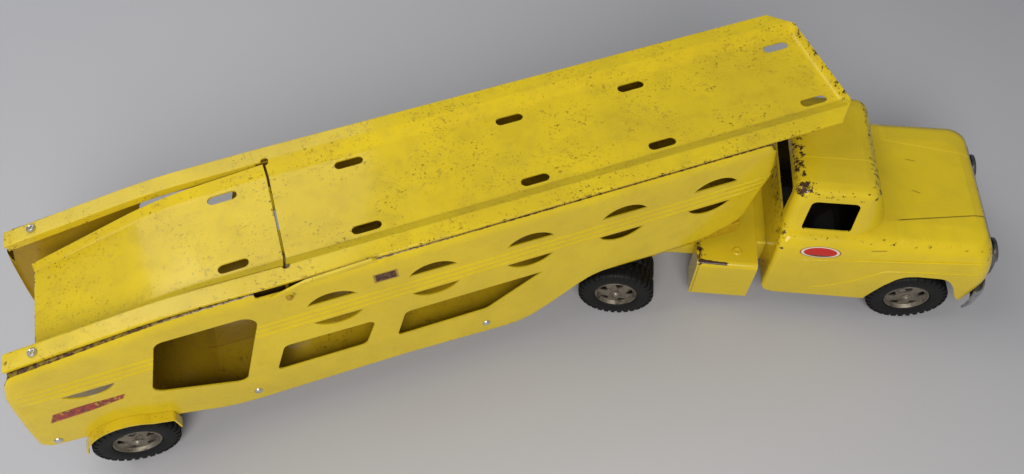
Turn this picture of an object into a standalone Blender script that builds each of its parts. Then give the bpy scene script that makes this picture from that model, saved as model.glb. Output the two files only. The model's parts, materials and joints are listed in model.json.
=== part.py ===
"""Toy car carrier: a pressed-steel semi tractor coupled to a double-deck car-hauling trailer.

Lengths are in millimetres and are turned into metres where a mesh is made.  +Z is up.  The
trailer lies along X with its nose toward +X and the tractor is swung to one side about the
kingpin.  Trailer and tractor parts are written in their own frames, whose origins are both
on the ground under the kingpin.
"""
import math

import bmesh
import bpy
from mathutils import Vector

MM = 0.001

# ---- placing -------------------------------------------------------------------------
KINGPIN_X = 111.8
KINGPIN_Y = 31.74
TRACTOR_SWING = -23.918
SHEET = 1.2
GAP = 0.3

# ---- wheels --------------------------------------------------------------------------
TYRE_RADIUS = 29.0
TYRE_HALF_WIDTH = 8.0
HUB_RADIUS = 16.6
HUB_FACE = 6.2
AXLE_RADIUS = 2.4
AXLE_HEIGHT = 29.0
WHEEL_SEGMENTS = 24
DUAL_SPACING = 17.0
FRONT_AXLE_X = 195.6
FRONT_WHEEL_Y = 53.7
REAR_AXLE_X = -26.4
REAR_WHEEL_Y = 70.6
TRAILER_AXLE_X = -418.8
TRAILER_WHEEL_Y = 55.5

# ---- upper deck ----------------------------------------------------------------------
DECK_FLOOR_Z = 161.5
DECK_SLOPE = 0.0126
DECK_BEND_X = -350.0
BEND_REACH = 24.0
RAIL_FALL = 0.127
RAIL_TAPER_X = -283.0
RAIL_TAPER = 2.6
DECK_FLOOR_HALF = 33.5
LEDGE_INNER = 42.8
LEDGE_OUTER = 54.6
LEDGE_RISE = 6.1
LEDGE_LIP = 4.0
DECK_REAR_X = -449.0
DECK_FRONT_X = 111.5
SLOT_X = (-223.8, -110.9, -21.0, 92.0)
SLOT_Y = 27.4
SLOT_LENGTH = 19.5
SLOT_WIDTH = 7.0

# ---- ramp ----------------------------------------------------------------------------
RAMP_EDGE_X = -277.6
RAMP_REAR_X = -441.2
RAMP_HALF = 41.0
RAMP_FALL = 0.237
RAMP_SLOT_X = -308.6
HINGE_X = -279.5
HINGE_Z = 154.4
HINGE_ROD_RADIUS = 1.2
RAMP_DROP = 2.0

# ---- side panels ---------------------------------------------------------------------
PANEL_Y = 57.0
PANEL_FLANGE_Y = 43.9
ROLL_START_Y = 53.0
ROLL_HEIGHT = 8.0
PANEL_BELOW_LEDGE = 2.5
RIB_PITCH = 5.5
RIB_HEIGHT = 0.7
WHEEL_OPENING_RADIUS = 31.5
BELLY_RIVETS = ((-460.0, 57.0), (-329.0, 42.0), (-159.0, 41.0))
RAIL_RIVET = (-430.5, 46.4)

# ---- lower deck ----------------------------------------------------------------------
LOWER_DECK = ((-468.0, 62.0), (-386.0, 62.0), (-352.0, 47.0), (-150.0, 47.0), (-100.0, 76.0),
              (42.0, 76.0))
LOWER_DECK_HALF = 55.5
LOWER_FLANGE = 11.0

# ---- tractor -------------------------------------------------------------------------
CHASSIS_TOP = 56.3
CHASSIS_HALF = 37.5
CHASSIS_SHEET = 1.5
KINGPIN_RADIUS = 4.0
FIFTH_WHEEL_TOP = 62.0

YELLOW = ((0.60, 0.44, 0.035), 0.38, 0.15)
STEEL = ((0.42, 0.40, 0.37), 0.45, 0.9)
BRIGHT_STEEL = ((0.62, 0.62, 0.62), 0.3, 1.0)
CHROME = ((0.75, 0.76, 0.78), 0.12, 1.0)
RUBBER = ((0.018, 0.018, 0.020), 0.75, 0.0)
LENS = ((0.80, 0.80, 0.76), 0.15, 0.0)
GALVANISED = ((0.35, 0.34, 0.32), 0.5, 0.85)


def start_empty():
    for old in list(bpy.data.objects):
        bpy.data.objects.remove(old, do_unlink=True)
    parts = bpy.data.collections.new("toy_car_carrier")
    cutters = bpy.data.collections.new("cutters")
    bpy.context.scene.collection.children.link(parts)
    bpy.context.scene.collection.children.link(cutters)
    return parts, cutters


PARTS, CUTTERS = start_empty()


def add_frame(name, location, turn=0.0):
    frame = bpy.data.objects.new(name, None)
    frame.location = Vector(location) * MM
    frame.rotation_euler = (0.0, 0.0, math.radians(turn))
    PARTS.objects.link(frame)
    return frame


def add_object(name, mesh, parent, finish=None, location=(0, 0, 0), rotation=(0, 0, 0)):
    """Place a mesh as a named part, or as a hidden cutter when it has no finish."""
    obj = bpy.data.objects.new(name, mesh)
    obj.parent = parent
    obj.location = Vector(location) * MM
    obj.rotation_euler = [math.radians(angle) for angle in rotation]
    if finish is None:
        CUTTERS.objects.link(obj)
        obj.display_type = "WIRE"
        obj.hide_render = True
        return obj
    PARTS.objects.link(obj)
    colour, roughness, metallic = finish
    material = bpy.data.materials.new(name + "_finish")
    material.use_nodes = True
    shader = material.node_tree.nodes["Principled BSDF"]
    shader.inputs["Base Color"].default_value = (*colour, 1.0)
    shader.inputs["Roughness"].default_value = roughness
    shader.inputs["Metallic"].default_value = metallic
    material.diffuse_color = (*colour, 1.0)
    mesh.materials.append(material)
    return obj


def loft_mesh(name, ring_sets):
    """One closed solid per list of rings; each ring is a closed loop of (x, y, z)."""
    form = bmesh.new()
    for rings in ring_sets:
        loops = [[form.verts.new(Vector(point) * MM) for point in ring] for ring in rings]
        for first, second in zip(loops, loops[1:]):
            for i in range(len(first)):
                j = (i + 1) % len(first)
                form.faces.new((first[i], first[j], second[j], second[i]))
        form.faces.new(list(reversed(loops[0])))
        form.faces.new(loops[-1])
    bmesh.ops.recalc_face_normals(form, faces=form.faces)
    mesh = bpy.data.meshes.new(name)
    form.to_mesh(mesh)
    form.free()
    return mesh


def prism(outline, axis, low, high):
    """Rings of a straight prism whose outline is drawn across the named axis."""
    place = {
        "X": lambda p, h: (h, p[0], p[1]),
        "Y": lambda p, h: (p[0], h, p[1]),
        "Z": lambda p, h: (p[0], p[1], h),
    }[axis]
    return [[place(point, level) for point in outline] for level in (low, high)]


def box(x0, x1, y0, y1, z0, z1):
    return prism([(x0, y0), (x1, y0), (x1, y1), (x0, y1)], "Z", z0, z1)


def arc(centre, radius, start, end, steps):
    """Points on a circle from one angle to the other, both ends included."""
    points = []
    for i in range(steps + 1):
        angle = math.radians(start + (end - start) * i / steps)
        points.append((centre[0] + radius * math.cos(angle), centre[1] + radius * math.sin(angle)))
    return points


def circle(centre, radius, steps):
    return arc(centre, radius, 0.0, 360.0 * (steps - 1) / steps, steps - 1)


def rounded(corners, steps=3):
    """Outline through (x, y, radius) corners with each corner turned on its radius."""
    outline = []
    count = len(corners)
    for i in range(count):
        x, y, radius = corners[i]
        here = Vector((x, y))
        before = (Vector(corners[i - 1][:2]) - here).normalized()
        after = (Vector(corners[(i + 1) % count][:2]) - here).normalized()
        half = before.angle(after) / 2.0
        reach = radius / math.tan(half)
        centre = here + (before + after).normalized() * radius / math.sin(half)
        first = here + before * reach - centre
        last = here + after * reach - centre
        turn = first.angle_signed(last)
        for k in range(steps + 1):
            spin = -turn * k / steps
            cos, sin = math.cos(spin), math.sin(spin)
            outline.append((centre.x + first.x * cos - first.y * sin,
                            centre.y + first.x * sin + first.y * cos))
    return outline


def stadium(x, y, length, width, steps=5):
    """Round-ended slot outline, its length along X."""
    reach = (length - width) / 2.0
    return (arc((x + reach, y), width / 2.0, -90, 90, steps)
            + arc((x - reach, y), width / 2.0, 90, 270, steps))


def sheet_outline(line, thickness):
    """Closed outline of a bent sheet: the line and its mitred copy on the right-hand side."""
    normals = []
    for a, b in zip(line, line[1:]):
        along = (Vector(b) - Vector(a)).normalized()
        normals.append(Vector((along.y, -along.x)))
    copy = []
    for i, point in enumerate(line):
        before = normals[max(i - 1, 0)]
        after = normals[min(i, len(normals) - 1)]
        mitre = (before + after).normalized()
        copy.append(tuple(Vector(point) + mitre * thickness / mitre.dot(after)))
    return list(line) + copy[::-1]


def add_loft(name, rings, parent, finish=None, location=(0, 0, 0), rotation=(0, 0, 0)):
    return add_object(name, loft_mesh(name, [rings]), parent, finish, location, rotation)


def add_cutter(name, ring_sets, parent, location=(0, 0, 0), rotation=(0, 0, 0)):
    return add_object(name, loft_mesh(name, ring_sets), parent, None, location, rotation)


def combine(obj, tool, operation):
    modifier = obj.modifiers.new(operation.title(), "BOOLEAN")
    modifier.object = tool
    modifier.operation = operation
    modifier.solver = "EXACT"


def shade_round(obj, degrees=35.0):
    """Smooth the round faces and keep the folds crisp."""
    obj.data.shade_smooth()
    obj.data.set_sharp_from_angle(angle=math.radians(degrees))


def settle(obj):
    """Turn the part's modifiers into plain mesh."""
    bpy.context.view_layer.update()
    evaluated = obj.evaluated_get(bpy.context.evaluated_depsgraph_get())
    mesh = bpy.data.meshes.new_from_object(evaluated)
    obj.modifiers.clear()
    obj.data = mesh


def add_turned(name, profile, parent, finish, location, rotation, segments=WHEEL_SEGMENTS,
               closed=True):
    """Solid of revolution about local Z from (radius, height) pairs, outer side downward."""
    count = len(profile)
    edges = [(i, i + 1) for i in range(count - 1)]
    if closed:
        edges.append((count - 1, 0))
    mesh = bpy.data.meshes.new(name)
    mesh.from_pydata([(radius * MM, 0.0, height * MM) for radius, height in profile], edges, [])
    obj = add_object(name, mesh, parent, finish, location, rotation)
    turn = obj.modifiers.new("Turn", "SCREW")
    turn.axis = "Z"
    turn.steps = turn.render_steps = segments
    turn.use_merge_vertices = True
    turn.merge_threshold = 0.00001
    turn.use_smooth_shade = True
    settle(obj)
    shade_round(obj)
    return obj


# ======================================================================================
# shared profiles
# ======================================================================================
def bent_height(x, fall):
    """A gentle rise toward the nose, eased down at the rear bend to fall more steeply."""
    past = min(max(DECK_BEND_X + BEND_REACH - x, 0.0), 2.0 * BEND_REACH)
    beyond = max(DECK_BEND_X - BEND_REACH - x, 0.0)
    return DECK_FLOOR_Z + DECK_SLOPE * x - fall * (past ** 2 / (4.0 * BEND_REACH) + beyond)


def floor_height(x):
    """Top of the upper deck's floor, carried on by the rear rails."""
    return bent_height(x, RAIL_FALL)


def bend_stations(start, end):
    """Places along the sheet that turn the rear bend in four short facets."""
    return [start] + [DECK_BEND_X + step * BEND_REACH for step in (-1.0, -0.5, 0.0, 0.5, 1.0)] + end


def rail_inset(x):
    """How far the rear rails draw in toward their tips."""
    share = (RAIL_TAPER_X - x) / (RAIL_TAPER_X - DECK_REAR_X)
    return RAIL_TAPER * min(max(share, 0.0), 1.0)


def mirrored(half):
    """Full cross-section from the half that runs outward-in on the +Y side."""
    return [(-y, z) for y, z in half] + [(y, z) for y, z in reversed(half)]


OUTWARD = {"right": (-1.0, 90.0), "left": (1.0, -90.0)}

TYRE_PROFILE = ((17.0, 6.2), (21.0, 8.0), (26.5, 7.6), (29.0, 5.2), (29.0, -5.2),
                (26.5, -7.6), (21.0, -8.0), (17.0, -6.2))


def add_tyre(name, parent, x, y, side):
    sign, tilt = OUTWARD[side]
    return add_turned(name, TYRE_PROFILE, parent, RUBBER, (x, sign * y, AXLE_HEIGHT), (tilt, 0, 0))


def add_hub(name, parent, x, y, side, depth):
    """Dished wheel centre with five three-cornered holes and a barrel for the tyre."""
    sign, tilt = OUTWARD[side]
    profile = ((2.8, HUB_FACE), (6.5, HUB_FACE), (14.2, 4.2), (15.2, 6.4), (HUB_RADIUS, 6.4),
               (HUB_RADIUS, -depth), (15.2, -depth), (15.2, 2.6), (2.8, 2.6))
    place = (x, sign * y, AXLE_HEIGHT)
    hub = add_turned(name, profile, parent, STEEL, place, (tilt, 0, 0), segments=20)
    holes = []
    for i in range(5):
        angle = math.radians(90.0 + 72.0 * i)
        out = Vector((math.cos(angle), math.sin(angle)))
        across = Vector((-out.y, out.x))
        corners = [out * 12.9 - across * 3.7, out * 12.9 + across * 3.7, out * 7.6]
        holes.append(prism([tuple(c) for c in corners], "Z", 0.0, 9.0))
    combine(hub, add_cutter(name + "_holes", holes, parent, place, (tilt, 0, 0)), "DIFFERENCE")
    return hub


def add_axle(name, parent, x, wheel_y):
    """Straight rod with a domed head outside each wheel."""
    reach = wheel_y + HUB_FACE + GAP
    half = [(0.0, reach + 2.2), (2.6, reach + 1.6), (4.2, reach), (AXLE_RADIUS, reach)]
    profile = half + [(radius, -height) for radius, height in reversed(half)]
    return add_turned(name, profile, parent, BRIGHT_STEEL, (x, 0, AXLE_HEIGHT), (90, 0, 0),
                      segments=16, closed=False)


# ======================================================================================
# trailer
# ======================================================================================
TRAILER = add_frame("trailer_frame", (KINGPIN_X, KINGPIN_Y, 0))
TRACTOR = add_frame("tractor_frame", (KINGPIN_X, KINGPIN_Y, 0), TRACTOR_SWING)


def deck_section(x, outer, rise, lift):
    """Upper deck cross-section: lipped ledges, sloping walls and a flat floor."""
    outer -= rail_inset(x)
    ledge_inner = min(LEDGE_INNER - rail_inset(x), outer - 1.5)
    half = [(outer, LEDGE_LIP + lift), (outer, LEDGE_RISE - 0.6 + lift),
            (outer - 0.6, LEDGE_RISE + lift), (ledge_inner, LEDGE_RISE + lift),
            (DECK_FLOOR_HALF, rise)]
    return sheet_outline(mirrored(half), SHEET)


def add_upper_deck():
    stations = [(x, LEDGE_OUTER, 0.0, 0.0)
                for x in bend_stations(DECK_REAR_X, [RAIL_TAPER_X, 97.0])]
    stations += [(107.5, 44.4, 0.0, 0.0), (DECK_FRONT_X, 39.6, 6.6, 0.6)]
    rings = []
    for x, outer, rise, lift in stations:
        base = floor_height(x)
        rings.append([(x, y, base + z) for y, z in deck_section(x, outer, rise, lift)])
    deck = add_loft("upper_deck", rings, TRAILER, YELLOW)
    slots = [prism(stadium(x, sign * SLOT_Y, SLOT_LENGTH, SLOT_WIDTH), "Z", 140, 180)
             for x in SLOT_X for sign in (-1, 1)]
    combine(deck, add_cutter("deck_slots", slots, TRAILER), "DIFFERENCE")
    edge = RAMP_EDGE_X + 1.0
    side = RAMP_HALF + 1.6
    tip = side - RAIL_TAPER
    outline = ([(-470.0, -tip), (DECK_REAR_X, -tip), (RAIL_TAPER_X, -side)]
               + arc((edge, -side), 2.6, 180, 450, 9) + arc((edge, side), 2.6, 270, 540, 9)
               + [(RAIL_TAPER_X, side), (DECK_REAR_X, tip), (-470.0, tip)])
    combine(deck, add_cutter("ramp_opening", [prism(outline, "Z", 110, 180)], TRAILER),
            "DIFFERENCE")
    flanges = []
    for sign in (-1, 1):
        rings = []
        for x in bend_stations(DECK_REAR_X + 0.8, [RAIL_TAPER_X]):
            low, high = sorted(sign * (side + out - rail_inset(x)) for out in (-0.3, 0.9))
            top = floor_height(x) + LEDGE_RISE
            rings.append([(x, low, top - 5.5), (x, high, top - 5.5), (x, high, top - 0.3),
                          (x, low, top - 0.3)])
        flanges.append(rings)
    combine(deck, add_cutter("rail_flanges", flanges, TRAILER), "UNION")
    holes = [prism(circle((RAIL_RIVET[0], sign * RAIL_RIVET[1]), 1.6, 10), "Z", 120, 180)
             for sign in (-1, 1)]
    combine(deck, add_cutter("rail_rivet_holes", holes, TRAILER), "DIFFERENCE")
    settle(deck)
    shade_round(deck)


def panel_ring(x, sign):
    """Side panel cross-section: inward flange, rolled top, flat side with three ribs."""
    top = floor_height(x) + LEDGE_RISE - PANEL_BELOW_LEDGE
    outer = [(PANEL_FLANGE_Y, top)]
    inner = [(PANEL_FLANGE_Y, top - SHEET)]
    for i in range(5):
        angle = math.radians(22.5 * i)
        cos, sin = math.cos(angle), math.sin(angle)
        outer.append((ROLL_START_Y + (PANEL_Y - ROLL_START_Y) * sin,
                      top - ROLL_HEIGHT + ROLL_HEIGHT * cos))
        inner.append((ROLL_START_Y + (PANEL_Y - ROLL_START_Y - SHEET) * sin,
                      top - ROLL_HEIGHT + (ROLL_HEIGHT - SHEET) * cos))
    middle = 124.2 + DECK_SLOPE * x
    for offset in (RIB_PITCH, 0.0, -RIB_PITCH):
        for rise, out in ((1.1, 0.0), (0.4, RIB_HEIGHT), (-0.4, RIB_HEIGHT), (-1.1, 0.0)):
            outer.append((PANEL_Y + out, middle + offset + rise))
    outer.append((PANEL_Y, 20.0))
    inner.append((PANEL_Y - SHEET, 20.0))
    return [(x, sign * y, z) for y, z in outer + inner[::-1]]


def panel_outline():
    """Edge of the side panel, nose toward +X, with the wheel opening in its lower edge."""
    rear = [(-444.5, 180.0), (-446.5, 149.5), (-450.4, 143.2), (-454.9, 136.1), (-458.7, 126.0),
            (-461.5, 115.0), (-465.0, 97.0), (-469.0, 76.0), (-472.0, 56.0), (-471.0, 53.0),
            (-468.0, 51.8), (-450.0, 50.2)]
    wheel = arc((TRAILER_AXLE_X, AXLE_HEIGHT), WHEEL_OPENING_RADIUS, 140, 26, 9)
    belly = [(-384.0, 42.6), (-372.0, 38.5), (-359.0, 33.5), (-346.0, 30.5), (-330.0, 29.5),
             (-264.0, 30.5), (-219.0, 31.0), (-157.0, 28.0), (-141.0, 27.6), (-131.0, 28.8),
             (-122.0, 33.0), (-109.0, 42.0), (-85.0, 60.5), (-78.0, 65.0), (-69.0, 67.8),
             (-56.0, 68.8), (-20.0, 69.2), (4.0, 70.5), (22.0, 74.5), (34.0, 79.5), (40.0, 84.0),
             (43.5, 90.0), (49.0, 115.0), (55.3, 137.0), (56.0, 144.0), (53.5, 152.0),
             (48.0, 160.0), (46.0, 180.0)]
    return rear + wheel + belly


def lens_half(x, z, direction):
    """One half of a lens-shaped opening; its flat edge is at height z."""
    half_length, depth = 16.6, 9.2
    radius = (half_length ** 2 + depth ** 2) / (2.0 * depth)
    spread = math.degrees(math.asin(half_length / radius))
    centre = (x, z + direction * (depth - radius))
    middle = 90.0 * direction
    return arc(centre, radius, middle - spread, middle + spread, 6)


def panel_openings():
    windows = [
        rounded([(-365.5, 141.0, 8.0), (-301.5, 141.0, 9.0), (-331.5, 60.5, 6.0),
                 (-388.0, 83.0, 9.0)]),
        rounded([(-297.5, 93.5, 6.0), (-235.0, 92.0, 4.0), (-246.5, 62.5, 6.0),
                 (-310.0, 62.5, 3.5)]),
        rounded([(-214.5, 91.5, 6.0), (-114.0, 91.8, 0.6), (-157.5, 61.8, 8.0),
                 (-224.5, 61.0, 3.5)]),
    ]
    centres = [-257.0 + 66.5 * i for i in range(5)]
    upper = [lens_half(x, 136.2 + DECK_SLOPE * x, 1) for x in centres]
    lower = [lens_half(x, 115.2 + DECK_SLOPE * x, -1) for x in centres + [-417.5]]
    return windows + upper + lower


def add_side_panel(side):
    sign = OUTWARD[side][0]
    name = "side_panel_" + side
    rings = [panel_ring(x, sign) for x in bend_stations(-478.0, [62.0])]
    panel = add_loft(name, rings, TRAILER, YELLOW)
    low, high = sorted((sign * 40.0, sign * 70.0))
    edge = add_cutter(name + "_edge", [prism(panel_outline(), "Y", low, high)], TRAILER)
    combine(panel, edge, "INTERSECT")
    low, high = sorted((sign * 54.0, sign * 66.0))
    openings = [prism(outline, "Y", low, high) for outline in panel_openings()]
    openings += [prism(circle(spot, 1.6, 10), "Y", low, high) for spot in BELLY_RIVETS]
    openings.append(prism(circle((HINGE_X, HINGE_Z), 1.5, 12), "Y", low, high))
    combine(panel, add_cutter(name + "_openings", openings, TRAILER), "DIFFERENCE")
    hole = prism(circle((RAIL_RIVET[0], sign * RAIL_RIVET[1]), 2.0, 10), "Z", 120, 180)
    combine(panel, add_cutter(name + "_rivet_hole", [hole], TRAILER), "DIFFERENCE")
    if side == "right":
        notch = rounded([(-299.0, 157.4, 2.0), (-269.0, 157.4, 2.0), (-269.0, 175.0, 2.0),
                         (-299.0, 175.0, 2.0)])
        combine(panel, add_cutter("lever_notch", [prism(notch, "Y", -70, -48)], TRAILER),
                "DIFFERENCE")
    settle(panel)
    shade_round(panel, 25.0)


def add_lower_deck():
    """Lower deck: one folded sheet that climbs over the drive wheels, with side flanges."""
    half = [(LOWER_DECK_HALF, -LOWER_FLANGE), (LOWER_DECK_HALF, -0.8),
            (LOWER_DECK_HALF - 0.8, 0.0)]
    section = sheet_outline(mirrored(half), SHEET)
    rings = [[(x, y, base + z) for y, z in section] for x, base in LOWER_DECK]
    deck = add_loft("lower_deck", rings, TRAILER, YELLOW)
    wheels = [prism(circle((TRAILER_AXLE_X, AXLE_HEIGHT), 31.3, 24), "Y", *span)
              for span in ((-60, -46), (46, 60))]
    combine(deck, add_cutter("wheel_clearance", wheels, TRAILER), "DIFFERENCE")
    rivets = [prism(circle(spot, 1.6, 10), "Y", *span)
              for spot in BELLY_RIVETS for span in ((-58, -52), (52, 58))]
    combine(deck, add_cutter("lower_rivet_holes", rivets, TRAILER), "DIFFERENCE")
    settle(deck)


def add_fender(side):
    sign = OUTWARD[side][0]
    line = [(-448.5, 41.0)] + arc((TRAILER_AXLE_X, AXLE_HEIGHT), 32.4, 152, 22, 12)
    line.append((-386.4, 36.5))
    low, high = sorted((sign * (PANEL_Y + GAP), sign * (PANEL_Y + 8.2)))
    fender = add_loft("fender_" + side, prism(sheet_outline(line, SHEET), "Y", low, high),
                      TRAILER, YELLOW)
    shade_round(fender)


def add_axle_carrier():
    half = [(40.0, 22.0), (40.0, 59.4), (39.2, 60.2)]
    section = sheet_outline(mirrored(half), SHEET)
    rings = [[(x, y, z) for y, z in section] for x in (-434.0, -403.6)]
    carrier = add_loft("axle_carrier", rings, TRAILER, GALVANISED)
    hole = prism(circle((TRAILER_AXLE_X, AXLE_HEIGHT), AXLE_RADIUS + GAP, 16), "Y", -50, 50)
    combine(carrier, add_cutter("carrier_bore", [hole], TRAILER), "DIFFERENCE")
    settle(carrier)


def add_rivets():
    """Belly rivets through the side panels and tubular rivets through the rail tips."""
    head = ((0.0, 1.5), (1.8, 1.3), (3.1, 0.3), (3.1, 0.0), (1.25, 0.0), (1.25, -3.4), (0.0, -3.4))
    for side in ("right", "left"):
        sign, tilt = OUTWARD[side]
        for i, (x, z) in enumerate(BELLY_RIVETS):
            add_turned("belly_rivet_%s_%d" % (side, i + 1), head, TRAILER, BRIGHT_STEEL,
                       (x, sign * (PANEL_Y + GAP), z), (tilt, 0, 0), segments=10, closed=False)
    tube = ((0.0, 0.4), (1.2, 0.4), (1.5, 1.6), (2.3, 1.8), (3.0, 0.8), (3.0, 0.0), (1.25, 0.0),
            (1.25, -4.6), (0.0, -4.6))
    x, y = RAIL_RIVET
    lean = math.degrees(math.atan(RAIL_FALL + DECK_SLOPE))
    for side in ("right", "left"):
        add_turned("rail_rivet_" + side, tube, TRAILER, BRIGHT_STEEL,
                   (x, OUTWARD[side][0] * y, floor_height(x) + LEDGE_RISE + GAP + 0.1),
                   (0, -lean, 0), segments=12, closed=False)


def add_coupling():
    coupler = ((KINGPIN_RADIUS + GAP, 74.4), (30.0, 74.4), (33.0, 73.4), (33.0, 72.6),
               (24.0, 64.5), (23.0, FIFTH_WHEEL_TOP + GAP), (KINGPIN_RADIUS + GAP,
                                                           FIFTH_WHEEL_TOP + GAP))
    add_turned("coupler_plate", coupler, TRAILER, YELLOW, (0, 0, 0), (0, 0, 0))
    pin = ((0.0, 74.4), (KINGPIN_RADIUS, 74.4), (KINGPIN_RADIUS, 51.0), (3.0, 49.8), (0.0, 49.8))
    add_turned("kingpin", pin, TRAILER, BRIGHT_STEEL, (0, 0, 0), (0, 0, 0), segments=16,
               closed=False)


def add_bulkhead():
    outline = [(36.3, 76.4), (37.5, 76.4), (51.2, 156.0), (50.0, 156.0)]
    add_loft("front_bulkhead", prism(outline, "Y", -55.4, 55.4), TRAILER, YELLOW)


# ======================================================================================
# ramp
# ======================================================================================
def add_ramp():
    """Hinged rear ramp: the deck's floor and lower walls, narrower and lower at the rear."""
    stations = [(x, 0.0) for x in bend_stations(RAMP_EDGE_X, [RAMP_REAR_X + 1.3])]
    stations = sorted(stations, key=lambda station: -station[0])
    rings = []
    for x, lip in stations + [(RAMP_REAR_X + 1.2, 4.5), (RAMP_REAR_X, 4.5)]:
        share = (RAMP_EDGE_X - x) / (RAMP_EDGE_X - RAMP_REAR_X)
        half = [(RAMP_HALF - 6.4 * share, 4.9 - 1.8 * share), (DECK_FLOOR_HALF - 2.8 * share, 0.0)]
        section = sheet_outline(mirrored(half), SHEET)
        base = bent_height(x, RAMP_FALL) - HINGE_Z
        rings.append([(x - HINGE_X, y, base + z - (lip if i >= len(section) // 2 else 0.0))
                      for i, (y, z) in enumerate(section)])
    place, tilt = (HINGE_X, 0, HINGE_Z), (0, -RAMP_DROP, 0)
    ramp = add_loft("ramp", rings, TRAILER, YELLOW, place, tilt)
    knuckles = []
    for low, high in ((-26.0, -10.0), (10.0, 26.0)):
        knuckles.append(prism(circle((0, 0), 2.9, 14), "Y", low, high))
    combine(ramp, add_cutter("ramp_knuckles", knuckles, TRAILER, place, tilt), "UNION")
    bore = prism(circle((0, 0), HINGE_ROD_RADIUS + GAP, 12), "Y", -30, 30)
    combine(ramp, add_cutter("ramp_bore", [bore], TRAILER, place, tilt), "DIFFERENCE")
    slots = [prism(stadium(RAMP_SLOT_X - HINGE_X, sign * SLOT_Y, SLOT_LENGTH, SLOT_WIDTH), "Z",
                   -8, 12) for sign in (-1, 1)]
    combine(ramp, add_cutter("ramp_slots", slots, TRAILER, place, tilt), "DIFFERENCE")
    settle(ramp)
    shade_round(ramp)


def add_ramp_rod():
    rod = ((0.0, 59.0), (1.8, 58.7), (2.3, 57.3), (HINGE_ROD_RADIUS, 57.3),
           (HINGE_ROD_RADIUS, -59.4), (2.3, -59.4), (1.8, -60.8), (0.0, -61.1))
    add_turned("ramp_hinge_rod", rod, TRAILER, BRIGHT_STEEL, (HINGE_X, 0, HINGE_Z),
               (-90, 0, 0), segments=12, closed=False)


def add_ramp_lever():
    """Release bar outside the near panel: an eye on the hinge rod and a long handle."""
    handle = [(6.5, 5.4), (12.5, 7.6), (55.0, 10.8), (56.2, 12.2), (53.5, 13.9), (12.0, 11.0),
              (4.8, 8.6), (-11.0, 2.8), (-11.6, 0.2), (-9.6, -1.2)]
    eye = arc((0, 0), 3.1, 222, 400, 8)
    place = (HINGE_X, 0, HINGE_Z)
    lever = add_loft("ramp_lever", prism(eye + handle, "Y", -59.1, -57.3), TRAILER, YELLOW, place)
    bore = [prism(circle((0, 0), HINGE_ROD_RADIUS + GAP, 12), "Y", -62, -55)]
    combine(lever, add_cutter("lever_bore", bore, TRAILER, place), "DIFFERENCE")
    settle(lever)


# ======================================================================================
# tractor
# ======================================================================================
def plan_ring(z, rear, front, half, rear_radius, front_radius, inset=0.0):
    """Rounded rectangle at one height, drawn in plan."""
    rear, front, half = rear + inset, front - inset, half - inset
    corners = [(rear, -half, rear_radius), (front, -half, front_radius),
               (front, half, front_radius), (rear, half, rear_radius)]
    return [(x, y, z) for x, y in rounded(corners, 4)]


BODY = ((26.0, 84.5, 237.0, 61.6, 4.0, 9.0), (50.0, 84.5, 241.0, 62.5, 4.0, 10.0),
        (62.0, 84.5, 241.7, 62.5, 4.0, 10.0), (74.0, 84.5, 239.5, 62.3, 4.0, 10.5),
        (83.0, 84.5, 236.9, 61.4, 4.5, 11.0), (90.0, 84.9, 234.3, 59.4, 5.0, 12.0),
        (94.3, 86.2, 231.8, 56.0, 6.0, 12.5), (96.6, 88.6, 229.0, 51.0, 6.0, 12.0),
        (98.2, 95.0, 222.0, 38.0, 6.0, 10.0))
CABIN = ((90.0, 86.0, 161.0, 52.8, 8.0, 24.0), (98.0, 86.0, 159.5, 51.4, 8.0, 23.0),
         (112.0, 86.5, 153.8, 48.8, 8.0, 17.0), (126.0, 87.3, 147.4, 46.8, 8.0, 11.0),
         (131.0, 88.4, 144.6, 45.4, 7.0, 8.0), (134.0, 91.0, 141.2, 42.4, 6.0, 7.0),
         (135.4, 97.0, 135.0, 36.0, 5.0, 6.0))


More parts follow.
